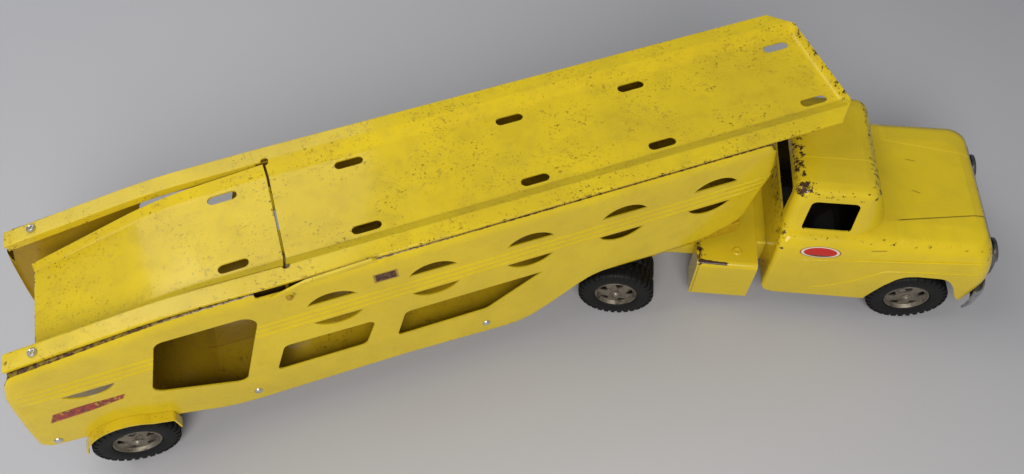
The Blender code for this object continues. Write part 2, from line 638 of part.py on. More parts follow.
def add_cab():
    """Cab and hood pressed as one shell, open underneath, with window and wheel openings."""
    cab = add_loft("cab_shell", [plan_ring(*row) for row in BODY], TRACTOR, YELLOW)
    combine(cab, add_cutter("cabin_form", [[plan_ring(*row) for row in CABIN]], TRACTOR), "UNION")
    hollow = [plan_ring(8.0, *BODY[0][1:], SHEET)]
    hollow += [plan_ring(row[0] - (SHEET if row[0] > 88 else 0.0), *row[1:], SHEET)
               for row in BODY]
    combine(cab, add_cutter("body_hollow", [hollow], TRACTOR), "DIFFERENCE")
    hollow = [plan_ring(88.0, *CABIN[0][1:], SHEET)]
    hollow += [plan_ring(row[0] - (SHEET if row[0] > 120 else 0.0), *row[1:], SHEET)
               for row in CABIN[1:]]
    combine(cab, add_cutter("cabin_hollow", [hollow], TRACTOR), "DIFFERENCE")
    side_window = rounded([(98.0, 98.5, 3.0), (132.5, 98.5, 3.0), (132.5, 125.5, 4.0),
                           (99.5, 125.5, 4.0)])
    rear_window = rounded([(-38.0, 99.0, 4.0), (38.0, 99.0, 4.0), (37.0, 125.0, 4.0),
                           (-37.0, 125.0, 4.0)])
    windshield = rounded([(-46.0, 101.5, 3.0), (46.0, 101.5, 3.0), (42.0, 127.0, 5.0),
                          (-42.0, 127.0, 5.0)])
    tunnel = [(-39.0, 10.0), (39.0, 10.0), (39.0, 58.0), (-39.0, 58.0)]
    openings = [prism(side_window, "Y", -70, 70)]
    combine(cab, add_cutter("side_windows", openings, TRACTOR), "DIFFERENCE")
    openings = [prism(rear_window, "X", 80, 96), prism(windshield, "X", 142.5, 175),
                prism(tunnel, "X", 80, 96)]
    combine(cab, add_cutter("end_windows", openings, TRACTOR), "DIFFERENCE")
    arch = [(163.5, 10.0), (164.0, 27.0), (166.5, 35.0), (171.5, 48.0), (177.5, 58.0),
            (183.0, 62.3), (191.0, 63.6), (208.0, 63.2), (214.5, 60.8), (220.5, 52.5),
            (226.0, 41.0), (231.0, 34.0), (236.0, 32.0), (250.0, 31.0), (250.0, 10.0)]
    combine(cab, add_cutter("wheel_arches", [prism(arch, "Y", -70, 70)], TRACTOR), "DIFFERENCE")
    settle(cab)
    shade_round(cab, 30.0)


def add_grille():
    outline = [(237.6, 88.6), (240.2, 84.5), (243.3, 77.0), (245.6, 68.0), (246.8, 60.5),
               (246.2, 55.0), (242.3, 55.0), (242.2, 62.3), (240.0, 74.2), (237.4, 83.2),
               (235.6, 88.0)]
    grille = add_loft("grille", prism(outline, "Y", -51.0, 51.0), TRACTOR, CHROME)
    grooves = []
    for z, face in ((61.0, 246.7), (66.8, 245.8), (72.6, 244.4), (78.4, 242.7)):
        grooves.append(box(face - 2.0, 260.0, -26.0, 26.0, z - 1.4, z + 1.4))
    combine(grille, add_cutter("grille_grooves", grooves, TRACTOR), "DIFFERENCE")
    settle(grille)


def add_headlight(side):
    lamp = ((0.0, 3.6), (4.0, 3.3), (7.6, 2.2), (8.2, 2.9), (9.4, 2.5), (9.6, 0.0), (0.0, 0.0))
    sign = OUTWARD[side][0]
    add_turned("headlight_" + side, lamp, TRACTOR, LENS, (245.2, sign * 39.0, 71.1),
               (0, 75.7, 0), segments=20, closed=False)


def add_bumper():
    """Tall bright bumper bar, its ends wrapped round the body's corners."""
    path = [(236.8, -65.1), (243.4, -61.6), (246.8, -53.5), (247.8, -40.0), (248.2, 0.0),
            (247.8, 40.0), (246.8, 53.5), (243.4, 61.6), (236.8, 65.1)]
    face = [(-2.2, 28.5), (-0.6, 27.3), (0.0, 29.0), (0.9, 33.0), (0.9, 46.0), (0.0, 50.2),
            (-0.6, 51.8), (-2.2, 50.8), (-1.4, 46.0), (-1.4, 33.0)]
    rings = []
    for i, point in enumerate(path):
        before = Vector(path[max(i - 1, 0)])
        after = Vector(path[min(i + 1, len(path) - 1)])
        along = (after - before).normalized()
        out = Vector((along.y, -along.x))
        rings.append([(point[0] + out.x * depth, point[1] + out.y * depth, z)
                      for depth, z in face])
    bumper = add_loft("front_bumper", rings, TRACTOR, CHROME)
    shade_round(bumper)


def add_chassis():
    half = [(CHASSIS_HALF, 19.0), (CHASSIS_HALF, CHASSIS_TOP - 1.2),
            (CHASSIS_HALF - 1.2, CHASSIS_TOP)]
    section = sheet_outline(mirrored(half), CHASSIS_SHEET)
    rings = [[(x, y, z) for y, z in section] for x in (-58.0, 233.0)]
    chassis = add_loft("chassis_frame", rings, TRACTOR, YELLOW)
    arches = [
        [(-70.0, 10.0), (-47.0, 10.0), (-49.0, 26.0), (-55.0, 33.0), (-70.0, 36.0)],
        [(0.0, 10.0), (2.0, 24.0), (7.0, 31.0), (15.0, 34.0), (150.0, 34.0), (162.0, 30.0),
         (168.0, 22.0), (170.0, 10.0)],
        [(220.0, 10.0), (221.0, 28.0), (226.0, 36.0), (240.0, 38.0), (240.0, 10.0)],
    ]
    cuts = [prism(outline, "Y", -45, 45) for outline in arches]
    cuts += [prism(circle((x, AXLE_HEIGHT), AXLE_RADIUS + GAP, 16), "Y", -45, 45)
             for x in (REAR_AXLE_X, FRONT_AXLE_X)]
    combine(chassis, add_cutter("chassis_cuts", cuts, TRACTOR), "DIFFERENCE")
    hole = prism(circle((0, 0), KINGPIN_RADIUS + 0.5, 16), "Z", 40, 70)
    combine(chassis, add_cutter("chassis_pin_hole", [hole], TRACTOR), "DIFFERENCE")
    settle(chassis)


def add_saddle_tanks():
    """Fuel tanks: one sheet folded over the chassis, boxed in at both ends of each side."""
    half = [(60.7, 13.5), (61.5, 54.0), (60.4, 57.0), (57.4, 58.3)]
    section = sheet_outline(mirrored(half), SHEET)
    rings = [[(x, y, z) for y, z in section] for x in (32.0, 77.0)]
    tanks = add_loft("saddle_tanks", rings, TRACTOR, YELLOW)
    ends = []
    for sign in (-1, 1):
        plate = [(39.0, 14.0), (60.3, 14.0), (61.0, 54.0), (60.0, 56.6), (57.4, 57.7),
                 (39.0, 57.7)]
        plate = [(sign * y, z) for y, z in plate]
        for low, high in ((32.0, 33.2), (75.8, 77.0)):
            ends.append(prism(plate, "X", low, high))
    combine(tanks, add_cutter("tank_ends", ends, TRACTOR), "UNION")
    settle(tanks)
    shade_round(tanks)


def add_fifth_wheel():
    profile = ((KINGPIN_RADIUS + 0.5, FIFTH_WHEEL_TOP), (26.0, FIFTH_WHEEL_TOP),
               (29.5, 60.5), (31.2, CHASSIS_TOP + GAP), (KINGPIN_RADIUS + 0.5, CHASSIS_TOP + GAP))
    add_turned("fifth_wheel", profile, TRACTOR, GALVANISED, (0, 0, 0), (0, 0, 0))


# ======================================================================================
# build
# ======================================================================================
def build_trailer():
    add_upper_deck()
    add_lower_deck()
    add_bulkhead()
    add_axle_carrier()
    add_coupling()
    add_rivets()
    add_axle("trailer_axle", TRAILER, TRAILER_AXLE_X, TRAILER_WHEEL_Y)
    add_ramp()
    add_ramp_rod()
    add_ramp_lever()
    for side in ("right", "left"):
        add_side_panel(side)
        add_fender(side)
        add_hub("trailer_hub_" + side, TRAILER, TRAILER_AXLE_X, TRAILER_WHEEL_Y, side, 6.4)
        add_tyre("trailer_tyre_" + side, TRAILER, TRAILER_AXLE_X, TRAILER_WHEEL_Y, side)


def build_tractor():
    add_cab()
    add_grille()
    add_bumper()
    add_chassis()
    add_saddle_tanks()
    add_fifth_wheel()
    add_axle("front_axle", TRACTOR, FRONT_AXLE_X, FRONT_WHEEL_Y)
    add_axle("rear_axle", TRACTOR, REAR_AXLE_X, REAR_WHEEL_Y)
    for side in ("right", "left"):
        add_headlight(side)
        add_hub("front_hub_" + side, TRACTOR, FRONT_AXLE_X, FRONT_WHEEL_Y, side, 6.4)
        add_tyre("front_tyre_" + side, TRACTOR, FRONT_AXLE_X, FRONT_WHEEL_Y, side)
        add_hub("rear_hub_" + side, TRACTOR, REAR_AXLE_X, REAR_WHEEL_Y, side,
                6.4 + DUAL_SPACING)
        add_tyre("rear_tyre_outer_" + side, TRACTOR, REAR_AXLE_X, REAR_WHEEL_Y, side)
        add_tyre("rear_tyre_inner_" + side, TRACTOR, REAR_AXLE_X, REAR_WHEEL_Y - DUAL_SPACING,
                 side)


build_trailer()
build_tractor()
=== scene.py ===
"""Looks for the pressed-steel toy car carrier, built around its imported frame.

Shapes are drawn in millimetres in two local frames that share an origin on the ground under
the kingpin: the trailer's, along +X, and the tractor's, swung about the kingpin.
"""
import json
import math

import bmesh
import bpy
from mathutils import Matrix, Vector


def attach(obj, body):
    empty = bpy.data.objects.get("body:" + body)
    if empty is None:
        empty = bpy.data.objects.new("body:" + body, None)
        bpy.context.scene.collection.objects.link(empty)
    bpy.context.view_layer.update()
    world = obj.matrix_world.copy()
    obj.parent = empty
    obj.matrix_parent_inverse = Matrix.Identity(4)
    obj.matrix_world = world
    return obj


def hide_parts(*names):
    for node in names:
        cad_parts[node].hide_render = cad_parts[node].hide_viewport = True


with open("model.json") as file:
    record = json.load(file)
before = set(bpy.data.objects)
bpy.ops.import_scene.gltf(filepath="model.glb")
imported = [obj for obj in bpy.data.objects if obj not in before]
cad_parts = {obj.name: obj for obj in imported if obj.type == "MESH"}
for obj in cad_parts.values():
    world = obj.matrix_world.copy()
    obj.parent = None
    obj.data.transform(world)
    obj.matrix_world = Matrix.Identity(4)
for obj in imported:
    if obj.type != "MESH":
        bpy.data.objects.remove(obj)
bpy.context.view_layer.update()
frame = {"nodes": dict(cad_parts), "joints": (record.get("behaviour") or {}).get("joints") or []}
MM = 0.001
SIDES = (("right", -1.0), ("left", 1.0))

joints = {joint["name"]: joint for joint in frame["joints"]}
pivot = joints["kingpin_swing"]["pos_m"]
axle_dir = joints["front_wheel_spin_right"]["axis"]
SWING = math.atan2(-axle_dir[0], axle_dir[1])
ORIGIN = Vector((pivot[0], pivot[1], 0.0))
TRAILER = Matrix.Translation(ORIGIN)
TRACTOR = Matrix.Translation(ORIGIN) @ Matrix.Rotation(SWING, 4, "Z")

# ---- the same sizes as the solid model ------------------------------------------------
SHEET = 1.2
AXLE_Z = 29.0
DECK_Z, SLOPE, BEND_X, BEND_REACH, RAIL_FALL = 161.5, 0.0126, -350.0, 24.0, 0.127
FLOOR_HALF, LEDGE_IN, LEDGE_OUT, LEDGE_RISE, LEDGE_LIP = 33.5, 42.8, 54.6, 6.1, 4.0
DECK_REAR, DECK_FRONT, TAPER_X, RAIL_TAPER = -449.0, 111.5, -283.0, 2.6
RAMP_HALF, RAMP_EDGE, RAMP_REAR, RAMP_DROP, RAMP_FALL = 41.0, -277.6, -441.2, 2.0, 0.237
HINGE = (-279.5, 0.0, 154.4)
PANEL_Y = 57.0
ROLL_START_Y, ROLL_HEIGHT, EDGE_ROLL = 53.8, 8.0, 4.0
SLOTS_X, RAMP_SLOT_X = (-223.8, -110.9, -21.0, 92.0), -308.6
SLOT_Y, SLOT_LENGTH, SLOT_WIDTH = 27.4, 19.5, 7.0
RAIL_RIVET = (-430.5, 46.4)
BELLY_RIVETS = ((-460.0, 57.0), (-329.0, 42.0), (-159.0, 41.0))
TRAILER_AXLE, FRONT_AXLE, REAR_AXLE = -418.8, 195.6, -26.4

# Colours of painted shade: brown for inside the trailer, near black for inside the cab.
SHADE_BROWN, CAB_SHADE_COLOUR = (0.24, 0.10, 0.002), (0.030, 0.016, 0.004)

CAMERA_SPOT = (-219.6, -334.0, 590.5)
CAMERA_AHEAD, CAMERA_LEVEL = (0.1562, 0.5232, -0.8378), (0.9582, -0.2861, 0.0)
CAMERA_ROLL, CAMERA_LENS = -1.881, 28.96


# ======================================================================================
# shape helpers
# ======================================================================================
def loft(name, ring_sets):
    form = bmesh.new()
    for rings in ring_sets:
        loops = [[form.verts.new(Vector(point) * MM) for point in ring] for ring in rings]
        for first, second in zip(loops, loops[1:]):
            for i in range(len(first)):
                j = (i + 1) % len(first)
                form.faces.new((first[i], first[j], second[j], second[i]))
        form.faces.new(list(reversed(loops[0])))
        form.faces.new(loops[-1])
    bmesh.ops.recalc_face_normals(form, faces=form.faces)
    mesh = bpy.data.meshes.new(name)
    form.to_mesh(mesh)
    form.free()
    return mesh


def prism(outline, axis, low, high):
    place = {
        "X": lambda p, h: (h, p[0], p[1]),
        "Y": lambda p, h: (p[0], h, p[1]),
        "Z": lambda p, h: (p[0], p[1], h),
    }[axis]
    return [[place(point, level) for point in outline] for level in (low, high)]


def box(x0, x1, y0, y1, z0, z1):
    return prism([(x0, y0), (x1, y0), (x1, y1), (x0, y1)], "Z", z0, z1)


def arc(centre, radius, start, end, steps):
    points = []
    for i in range(steps + 1):
        angle = math.radians(start + (end - start) * i / steps)
        points.append((centre[0] + radius * math.cos(angle), centre[1] + radius * math.sin(angle)))
    return points


def circle(centre, radius, steps):
    return arc(centre, radius, 0.0, 360.0 * (steps - 1) / steps, steps - 1)


def fillet(before, here, after, radius, steps):
    """Points that turn the corner at here on the radius, or less where an edge is short."""
    here = Vector(here)
    back, onward = Vector(before) - here, Vector(after) - here
    room = 0.47 * min(back.length, onward.length)
    back.normalize()
    onward.normalize()
    half = back.angle(onward) / 2.0
    if half > math.radians(88.0):
        ends = here + back * min(0.3, room), here + onward * min(0.3, room)
        return [tuple(ends[0].lerp(ends[1], k / steps)) for k in range(steps + 1)]
    reach = min(radius / math.tan(half), room)
    radius = reach * math.tan(half)
    centre = here + (back + onward).normalized() * radius / math.sin(half)
    first = here + back * reach - centre
    last = here + onward * reach - centre
    turn = first.angle_signed(last)
    points = []
    for k in range(steps + 1):
        spin = -turn * k / steps
        cos, sin = math.cos(spin), math.sin(spin)
        points.append((centre.x + first.x * cos - first.y * sin,
                       centre.y + first.x * sin + first.y * cos))
    return points


def rounded(corners, steps=6):
    outline = []
    count = len(corners)
    for i, (x, y, radius) in enumerate(corners):
        outline += fillet(corners[i - 1][:2], (x, y), corners[(i + 1) % count][:2], radius, steps)
    return outline


def softened(line, radius, steps=3):
    """Open line with its inner corners turned."""
    points = [line[0]]
    for i in range(1, len(line) - 1):
        size = radius[i - 1] if isinstance(radius, (list, tuple)) else radius
        points += fillet(line[i - 1], line[i], line[i + 1], size, steps)
    return points + [line[-1]]


def stadium(x, y, length, width, steps=10):
    reach = (length - width) / 2.0
    return (arc((x + reach, y), width / 2.0, -90, 90, steps)
            + arc((x - reach, y), width / 2.0, 90, 270, steps))


def sheet_outline(line, thickness):
    normals = []
    for a, b in zip(line, line[1:]):
        along = (Vector(b) - Vector(a)).normalized()
        normals.append(Vector((along.y, -along.x)))
    copy = []
    for i, point in enumerate(line):
        before = normals[max(i - 1, 0)]
        after = normals[min(i, len(normals) - 1)]
        mitre = (before + after).normalized()
        copy.append(tuple(Vector(point) + mitre * thickness / mitre.dot(after)))
    return list(line) + copy[::-1]


def mirrored(half):
    return [(-y, z) for y, z in half] + [(y, z) for y, z in reversed(half)]


def turned(name, profile, segments=64, closed=True):
    """Solid of revolution about local Z from (radius, height) pairs."""
    form = bmesh.new()
    columns = []
    for k in range(segments):
        angle = 2.0 * math.pi * k / segments
        columns.append([form.verts.new(Vector((r * math.cos(angle), r * math.sin(angle), h)) * MM)
                        for r, h in profile])
    count = len(profile)
    for k in range(segments):
        a, b = columns[k], columns[(k + 1) % segments]
        for i in range(count if closed else count - 1):
            j = (i + 1) % count
            form.faces.new((a[i], a[j], b[j], b[i]))
    bmesh.ops.remove_doubles(form, verts=form.verts, dist=0.00001)
    bmesh.ops.recalc_face_normals(form, faces=form.faces)
    mesh = bpy.data.meshes.new(name)
    form.to_mesh(mesh)
    form.free()
    return mesh


def combined(mesh, tool, operation="DIFFERENCE"):
    """The mesh after an exact Boolean with another mesh."""
    base = bpy.data.objects.new("base", mesh)
    other = bpy.data.objects.new("tool", tool)
    bpy.context.scene.collection.objects.link(base)
    bpy.context.scene.collection.objects.link(other)
    modifier = base.modifiers.new("Cut", "BOOLEAN")
    modifier.object = other
    modifier.operation = operation
    modifier.solver = "EXACT"
    bpy.context.view_layer.update()
    evaluated = base.evaluated_get(bpy.context.evaluated_depsgraph_get())
    result = bpy.data.meshes.new_from_object(evaluated)
    bpy.data.objects.remove(base, do_unlink=True)
    bpy.data.objects.remove(other, do_unlink=True)
    return result


def joined(name, meshes):
    form = bmesh.new()
    for mesh in meshes:
        form.from_mesh(mesh)
    result = bpy.data.meshes.new(name)
    form.to_mesh(result)
    form.free()
    return result


def crisp(piece, sharp):
    """Smooth the round faces, keep folds sharp and let broad faces stay flat."""
    piece.data.shade_smooth()
    piece.data.set_sharp_from_angle(angle=math.radians(sharp))
    modifier = piece.modifiers.new("Flat faces", "WEIGHTED_NORMAL")
    modifier.keep_sharp = True
    modifier.weight = 80


def add(name, mesh, place, body, material, nodes=(), sharp=35.0, lining=None):
    """Put a mesh in place as a piece that rides on a body and stands for CAD nodes."""
    mesh.materials.clear()
    mesh.materials.append(material)
    if lining:
        lined(mesh, *lining)
    mesh.transform(place)
    piece = bpy.data.objects.new(name, mesh)
    bpy.context.scene.collection.objects.link(piece)
    crisp(piece, sharp)
    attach(piece, body)
    if nodes:
        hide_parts(*nodes)
    return piece


def lined(mesh, material, inside):
    """Give the faces that inside(middle, normal) picks their own material, in local mm."""
    mesh.materials.append(material)
    for face in mesh.polygons:
        if inside(face.center / MM, face.normal):
            face.material_index = 1


def tube(name, path, girth, sides=8):
    """Closed round bar along a list of points that swells in from its first point."""
    rings = []
    points = [Vector(p) for p in path]
    for i, point in enumerate(points):
        radius = girth * min(0.25 + 0.75 * i / 2.0, 1.0)
        along = (points[min(i + 1, len(points) - 1)] - points[max(i - 1, 0)]).normalized()
        across = along.cross(Vector((0, 1, 0.01))).normalized()
        up = across.cross(along)
        rings.append([tuple(point + across * radius * math.cos(2 * math.pi * k / sides)
                            + up * radius * math.sin(2 * math.pi * k / sides))
                      for k in range(sides)])
    return loft(name, [rings])


# ======================================================================================
# materials
# ======================================================================================
class Shader:
    """Small helper that wires a procedural material together."""

    def __init__(self, name):
        self.material = bpy.data.materials.new(name)
        self.material.use_nodes = True
        self.tree = self.material.node_tree
        self.bsdf = self.tree.nodes["Principled BSDF"]

    def node(self, kind, **settings):
        made = self.tree.nodes.new(kind)
        for key, value in settings.items():
            setattr(made, key, value)
        return made

    def feed(self, socket, value):
        if isinstance(value, (int, float)):
            socket.default_value = value
        elif isinstance(value, tuple):
            padding = len(socket.default_value) - len(value)
            socket.default_value = value + (1.0,) * padding
        else:
            self.tree.links.new(value, socket)

    def put(self, **values):
        """Set or link sockets of the main shader: Base_Color stands for Base Color."""
        for name, value in values.items():
            self.feed(self.bsdf.inputs[name.replace("_", " ")], value)

    def math(self, operation, a, b=0.0, clamp=False):
        made = self.node("ShaderNodeMath", operation=operation, use_clamp=clamp)
        self.feed(made.inputs[0], a)
        self.feed(made.inputs[1], b)
        return made.outputs[0]

    def size(self, a):
        """The number without its sign."""
        return self.math("ABSOLUTE", a)

    def plus(self, a, b, clamp=False):
        return self.math("ADD", a, b, clamp)

    def minus(self, a, b):
        return self.math("SUBTRACT", a, b)

    def vector(self, operation, a, b):
        made = self.node("ShaderNodeVectorMath", operation=operation)
        self.feed(made.inputs[0], a)
        self.feed(made.inputs[1], b)
        return made.outputs["Value"] if operation in ("DOT_PRODUCT", "LENGTH") else made.outputs[0]

    def step(self, value, low, high):
        """0 below low, 1 above high, smooth between (or falling, if low is above high)."""
        made = self.node("ShaderNodeMapRange", interpolation_type="SMOOTHSTEP")
        first, second, out0, out1 = (low, high, 0.0, 1.0) if low < high else (high, low, 1.0, 0.0)
        self.feed(made.inputs["Value"], value)
        made.inputs["From Min"].default_value = first
        made.inputs["From Max"].default_value = second
        made.inputs["To Min"].default_value = out0
        made.inputs["To Max"].default_value = out1
        return made.outputs["Result"]

    def mix(self, factor, a, b):
        made = self.node("ShaderNodeMix", data_type="RGBA")
        self.feed(made.inputs["Factor"], factor)
        self.feed(made.inputs[6], a)
        self.feed(made.inputs[7], b)
        return made.outputs[2]

    def both(self, a, b):
        return self.math("MULTIPLY", a, b)

    def either(self, *masks):
        total = masks[0]
        for mask in masks[1:]:
            total = self.math("MAXIMUM", total, mask)
        return total

    def local(self, swung=False):
        """Place in the local frame, in millimetres."""
        coords = self.node("ShaderNodeTexCoord").outputs["Object"]
        moved = self.vector("SUBTRACT", coords, tuple(ORIGIN))
        if swung:
            turn = self.node("ShaderNodeVectorRotate", rotation_type="Z_AXIS")
            self.feed(turn.inputs["Vector"], moved)
            turn.inputs["Angle"].default_value = -SWING
            moved = turn.outputs["Vector"]
        scaled = self.node("ShaderNodeVectorMath", operation="SCALE")
        self.feed(scaled.inputs[0], moved)
        scaled.inputs["Scale"].default_value = 1000.0
        return scaled.outputs[0]

    def split(self, vector):
        made = self.node("ShaderNodeSeparateXYZ")
        self.feed(made.inputs[0], vector)
        return made.outputs[0], made.outputs[1], made.outputs[2]

    def noise(self, vector, size, detail=3.0, rough=0.55, shift=0.0, stretch=(1.0, 1.0, 1.0)):
        """Noise whose features are about size millimetres across."""
        place = self.node("ShaderNodeMapping")
        self.feed(place.inputs["Vector"], vector)
        place.inputs["Location"].default_value = (shift, shift * 0.7, shift * 1.3)
        place.inputs["Scale"].default_value = [1.0 / (size * s) for s in stretch]
        made = self.node("ShaderNodeTexNoise")
        self.feed(made.inputs["Vector"], place.outputs[0])
        made.inputs["Scale"].default_value = 1.0
        made.inputs["Detail"].default_value = detail
        made.inputs["Roughness"].default_value = rough
        return made.outputs["Fac"]

    def streak(self, u, v, start, end, half_width):
        """Mask of a thin straight scratch between two places, fading at its ends."""
        run = Vector(end) - Vector(start)
        length = run.length
        run.normalize()
        du, dv = self.minus(u, start[0]), self.minus(v, start[1])
        ahead = self.plus(self.both(du, run.x), self.both(dv, run.y))
        aside = self.size(self.minus(self.both(du, run.y), self.both(dv, run.x)))
        return self.both(self.step(aside, half_width + 0.25, half_width),
                         self.band(ahead, 0.0, length, 1.5))

    def band(self, value, low, high, soft=1.0):
        return self.both(self.step(value, low - soft, low + soft),
                         self.step(value, high + soft, high - soft))

    def edges(self, radius, low=0.03, high=0.25):
        """1 along folds and cut edges, 0 on flats, with the rounded normal."""
        rounded_normal = self.node("ShaderNodeBevel", samples=6)
        rounded_normal.inputs["Radius"].default_value = radius * MM
        true_normal = self.node("ShaderNodeNewGeometry").outputs["Normal"]
        flatness = self.vector("DOT_PRODUCT", rounded_normal.outputs[0], true_normal)
        return self.step(self.minus(1.0, flatness), low, high)

    def soft_normal(self, radius):
        made = self.node("ShaderNodeBevel", samples=6)
        made.inputs["Radius"].default_value = radius * MM
        return made.outputs[0]

    def bump(self, height, distance, normal=None):
        made = self.node("ShaderNodeBump")
        made.inputs["Strength"].default_value = 1.0
        made.inputs["Distance"].default_value = distance * MM
        self.feed(made.inputs["Height"], height)
        if normal is not None:
            self.feed(made.inputs["Normal"], normal)
        return made.outputs[0]


def yellow(name, swung=False, dirt=0.5, speckle=0.0, chips=0.3, worn=None, marks=None,
           relief=None, shade=1.0, under=SHADE_BROWN):
    """Old yellow enamel on steel.  worn(shader, xyz) gives where paint is chipped hardest
    (for the side panels also painted shade in the groove under the ledge), marks(shader, xyz,
    colour) repaints printed marks and stains and for some parts paints shade, and
    relief(shader, xyz) adds pressed lines as a height in millimetres.  A shade below 1 mixes
    in the under colour as painted shade on surfaces inside the model."""
    s = Shader(name)
    place = s.local(swung)
    xyz = s.split(place)
    broad = s.noise(place, 70.0, 2.0)
    middle = s.noise(place, 14.0, 4.0, 0.6, 3.1)
    fine = s.noise(place, 2.6, 4.0, 0.65, 7.7)
    grit = s.noise(place, 0.8, 2.0, 0.6, 1.9)
    colour = s.mix(s.step(broad, 0.3, 0.7), (0.745, 0.555, 0.016), (0.655, 0.485, 0.020))
    colour = s.mix(s.both(s.step(middle, 0.45, 0.75), 0.55 * dirt), colour, (0.50, 0.36, 0.018))
    smear = s.both(s.step(s.noise(place, 26.0, 5.0, 0.7, 5.3), 0.52, 0.68), 0.5 * dirt)
    colour = s.mix(smear, colour, (0.54, 0.40, 0.028))
    if speckle:
        region = s.step(s.noise(place, 30.0, 3.0, 0.6, 9.1), 0.36, 0.62)
        spots = s.both(s.step(s.noise(place, 3.4, 5.0, 0.7, 2.2), 0.55, 0.66), region)
        colour = s.mix(s.both(spots, 0.8 * speckle), colour, (0.36, 0.24, 0.030))
        specks = s.both(s.step(s.noise(place, 1.9, 3.0, 0.6, 17.0), 0.62, 0.65), region)
        colour = s.mix(s.both(specks, speckle), colour, (0.10, 0.055, 0.012))
        pale = s.step(s.noise(place, 2.2, 3.0, 0.6, 12.0), 0.66, 0.76)
        colour = s.mix(s.both(pale, 0.3 * speckle), colour, (0.78, 0.66, 0.12))
    # Painted shade: mix toward the under colour.
    if shade < 1.0:
        colour = s.mix(1.0 - shade, colour, under)
    if marks:
        colour = marks(s, xyz, colour)
    edge = s.edges(0.5, 0.06, 0.3)
    patch = s.step(s.noise(place, 9.0, 4.0, 0.7, 4.4), 0.66 - 0.08 * chips, 0.70 - 0.08 * chips)
    colour = s.mix(s.both(edge, 0.35), colour, (0.80, 0.64, 0.08))
    lost = s.both(s.both(edge, patch), s.step(fine, 0.45, 0.52))
    pits = s.both(s.step(s.noise(place, 1.7, 3.0, 0.6, 21.0), 0.735 - 0.02 * chips, 0.75),
                  s.step(s.noise(place, 40.0, 3.0, 0.6, 15.0), 0.42, 0.6))
    lost = s.either(lost, pits)
    if worn:
        area = worn(s, xyz)
        bare = s.step(s.plus(s.noise(place, 3.6, 5.0, 0.75, 8.8), s.both(area, 0.20)),
                      0.68, 0.70)
        lost = s.either(lost, s.both(bare, s.step(area, 0.05, 0.3)))
    rust = s.mix(s.step(grit, 0.35, 0.7), (0.030, 0.013, 0.007), (0.10, 0.045, 0.018))
    halo = s.both(s.step(lost, 0.02, 0.5), 0.5)
    colour = s.mix(halo, colour, (0.33, 0.20, 0.03))
    colour = s.mix(lost, colour, rust)
    gloss = s.plus(0.20, s.both(s.step(middle, 0.35, 0.75), 0.16))
    gloss = s.plus(gloss, s.both(lost, 0.35), clamp=True)
    normal = s.soft_normal(0.3)
    if relief:
        normal = s.bump(relief(s, xyz), 1.0, normal)
    normal = s.bump(s.noise(place, 38.0, 2.0, 0.5, 6.0), 1.1, normal)
    normal = s.bump(fine, 0.035, normal)
    normal = s.bump(s.minus(1.0, lost), 0.10, normal)
    s.put(Base_Color=colour, Roughness=gloss, Metallic=0.0, IOR=1.5, Specular_IOR_Level=0.15,
          Coat_Weight=0.35, Coat_Roughness=0.09, Normal=normal)
    return s.material


def metal(name, light, dark, rough, grime, swung=False, chromed=False):
    """Steel or bright plate with stains, fine pits and uneven roughness."""
    s = Shader(name)
    place = s.local(swung)
    cloud = s.noise(place, 7.0, 5.0, 0.65, 1.0)
    fine = s.noise(place, 0.9, 3.0, 0.6, 2.0)
    mask = s.both(s.step(cloud, 0.42, 0.70), grime)
    colour = s.mix(mask, light, dark)
    spots = s.step(s.noise(place, 1.4, 2.0, 0.5, 4.0), 0.70, 0.76)
    colour = s.mix(s.both(spots, 0.5 * grime), colour, (0.09, 0.045, 0.02))
    uneven = s.both(s.plus(s.both(fine, 0.3), mask), 0.3)
    s.put(Base_Color=colour, Metallic=1.0 if chromed else 0.85,
          Roughness=s.plus(rough, uneven),
          Normal=s.bump(fine, 0.012 if chromed else 0.03, s.soft_normal(0.3)))
    return s.material


def rubber(name):
    s = Shader(name)
    place = s.local()
    dust = s.step(s.noise(place, 6.0, 5.0, 0.7), 0.50, 0.78)
    fine = s.noise(place, 0.7, 3.0, 0.6)
    colour = s.mix(s.both(dust, 0.5), (0.004, 0.004, 0.004), (0.017, 0.016, 0.015))
    s.put(Base_Color=colour, Roughness=s.plus(0.60, s.both(dust, 0.25)),
          Specular_IOR_Level=0.3, Normal=s.bump(fine, 0.03, s.soft_normal(0.25)))
    return s.material


def lamp_glass(name):
    s = Shader(name)
    place = s.local(True)
    s.put(Base_Color=s.mix(s.noise(place, 3.0, 3.0), (0.62, 0.62, 0.58), (0.80, 0.79, 0.72)),
          Roughness=s.plus(0.10, s.both(s.noise(place, 5.0), 0.15)), Coat_Weight=0.6)
    return s.material


# ---- where the paint is worn, printed or creased, and where shade is painted ----------
def deck_worn(s, xyz):
    x, y, _ = xyz
    wide = s.size(y)
    lip = s.both(s.step(wide, 53.2, 54.3), 0.50)
    nose = s.both(s.step(x, 107.5, 110.8), 0.62)
    rails = s.both(s.step(x, -436.0, -447.0), 0.45)
    return s.either(lip, nose, rails)


def deck_marks(s, xyz, colour):
    wall = s.band(s.size(xyz[1]), 33.0, 35.0, 1.2)
    grime = s.both(wall, s.noise(s.local(), 18.0, 4.0, 0.7, 3.0))
    return s.mix(s.both(grime, 0.3), colour, (0.40, 0.29, 0.03))


def ramp_worn(s, xyz):
    x, y, _ = xyz
    rear = s.both(s.step(x, -438.6, -440.6), 0.80)
    front = s.both(s.step(x, -281.0, -278.4), 0.5)
    wall = s.both(s.step(s.size(y), 39.6, 40.8), 0.25)
    return s.either(rear, front, wall)


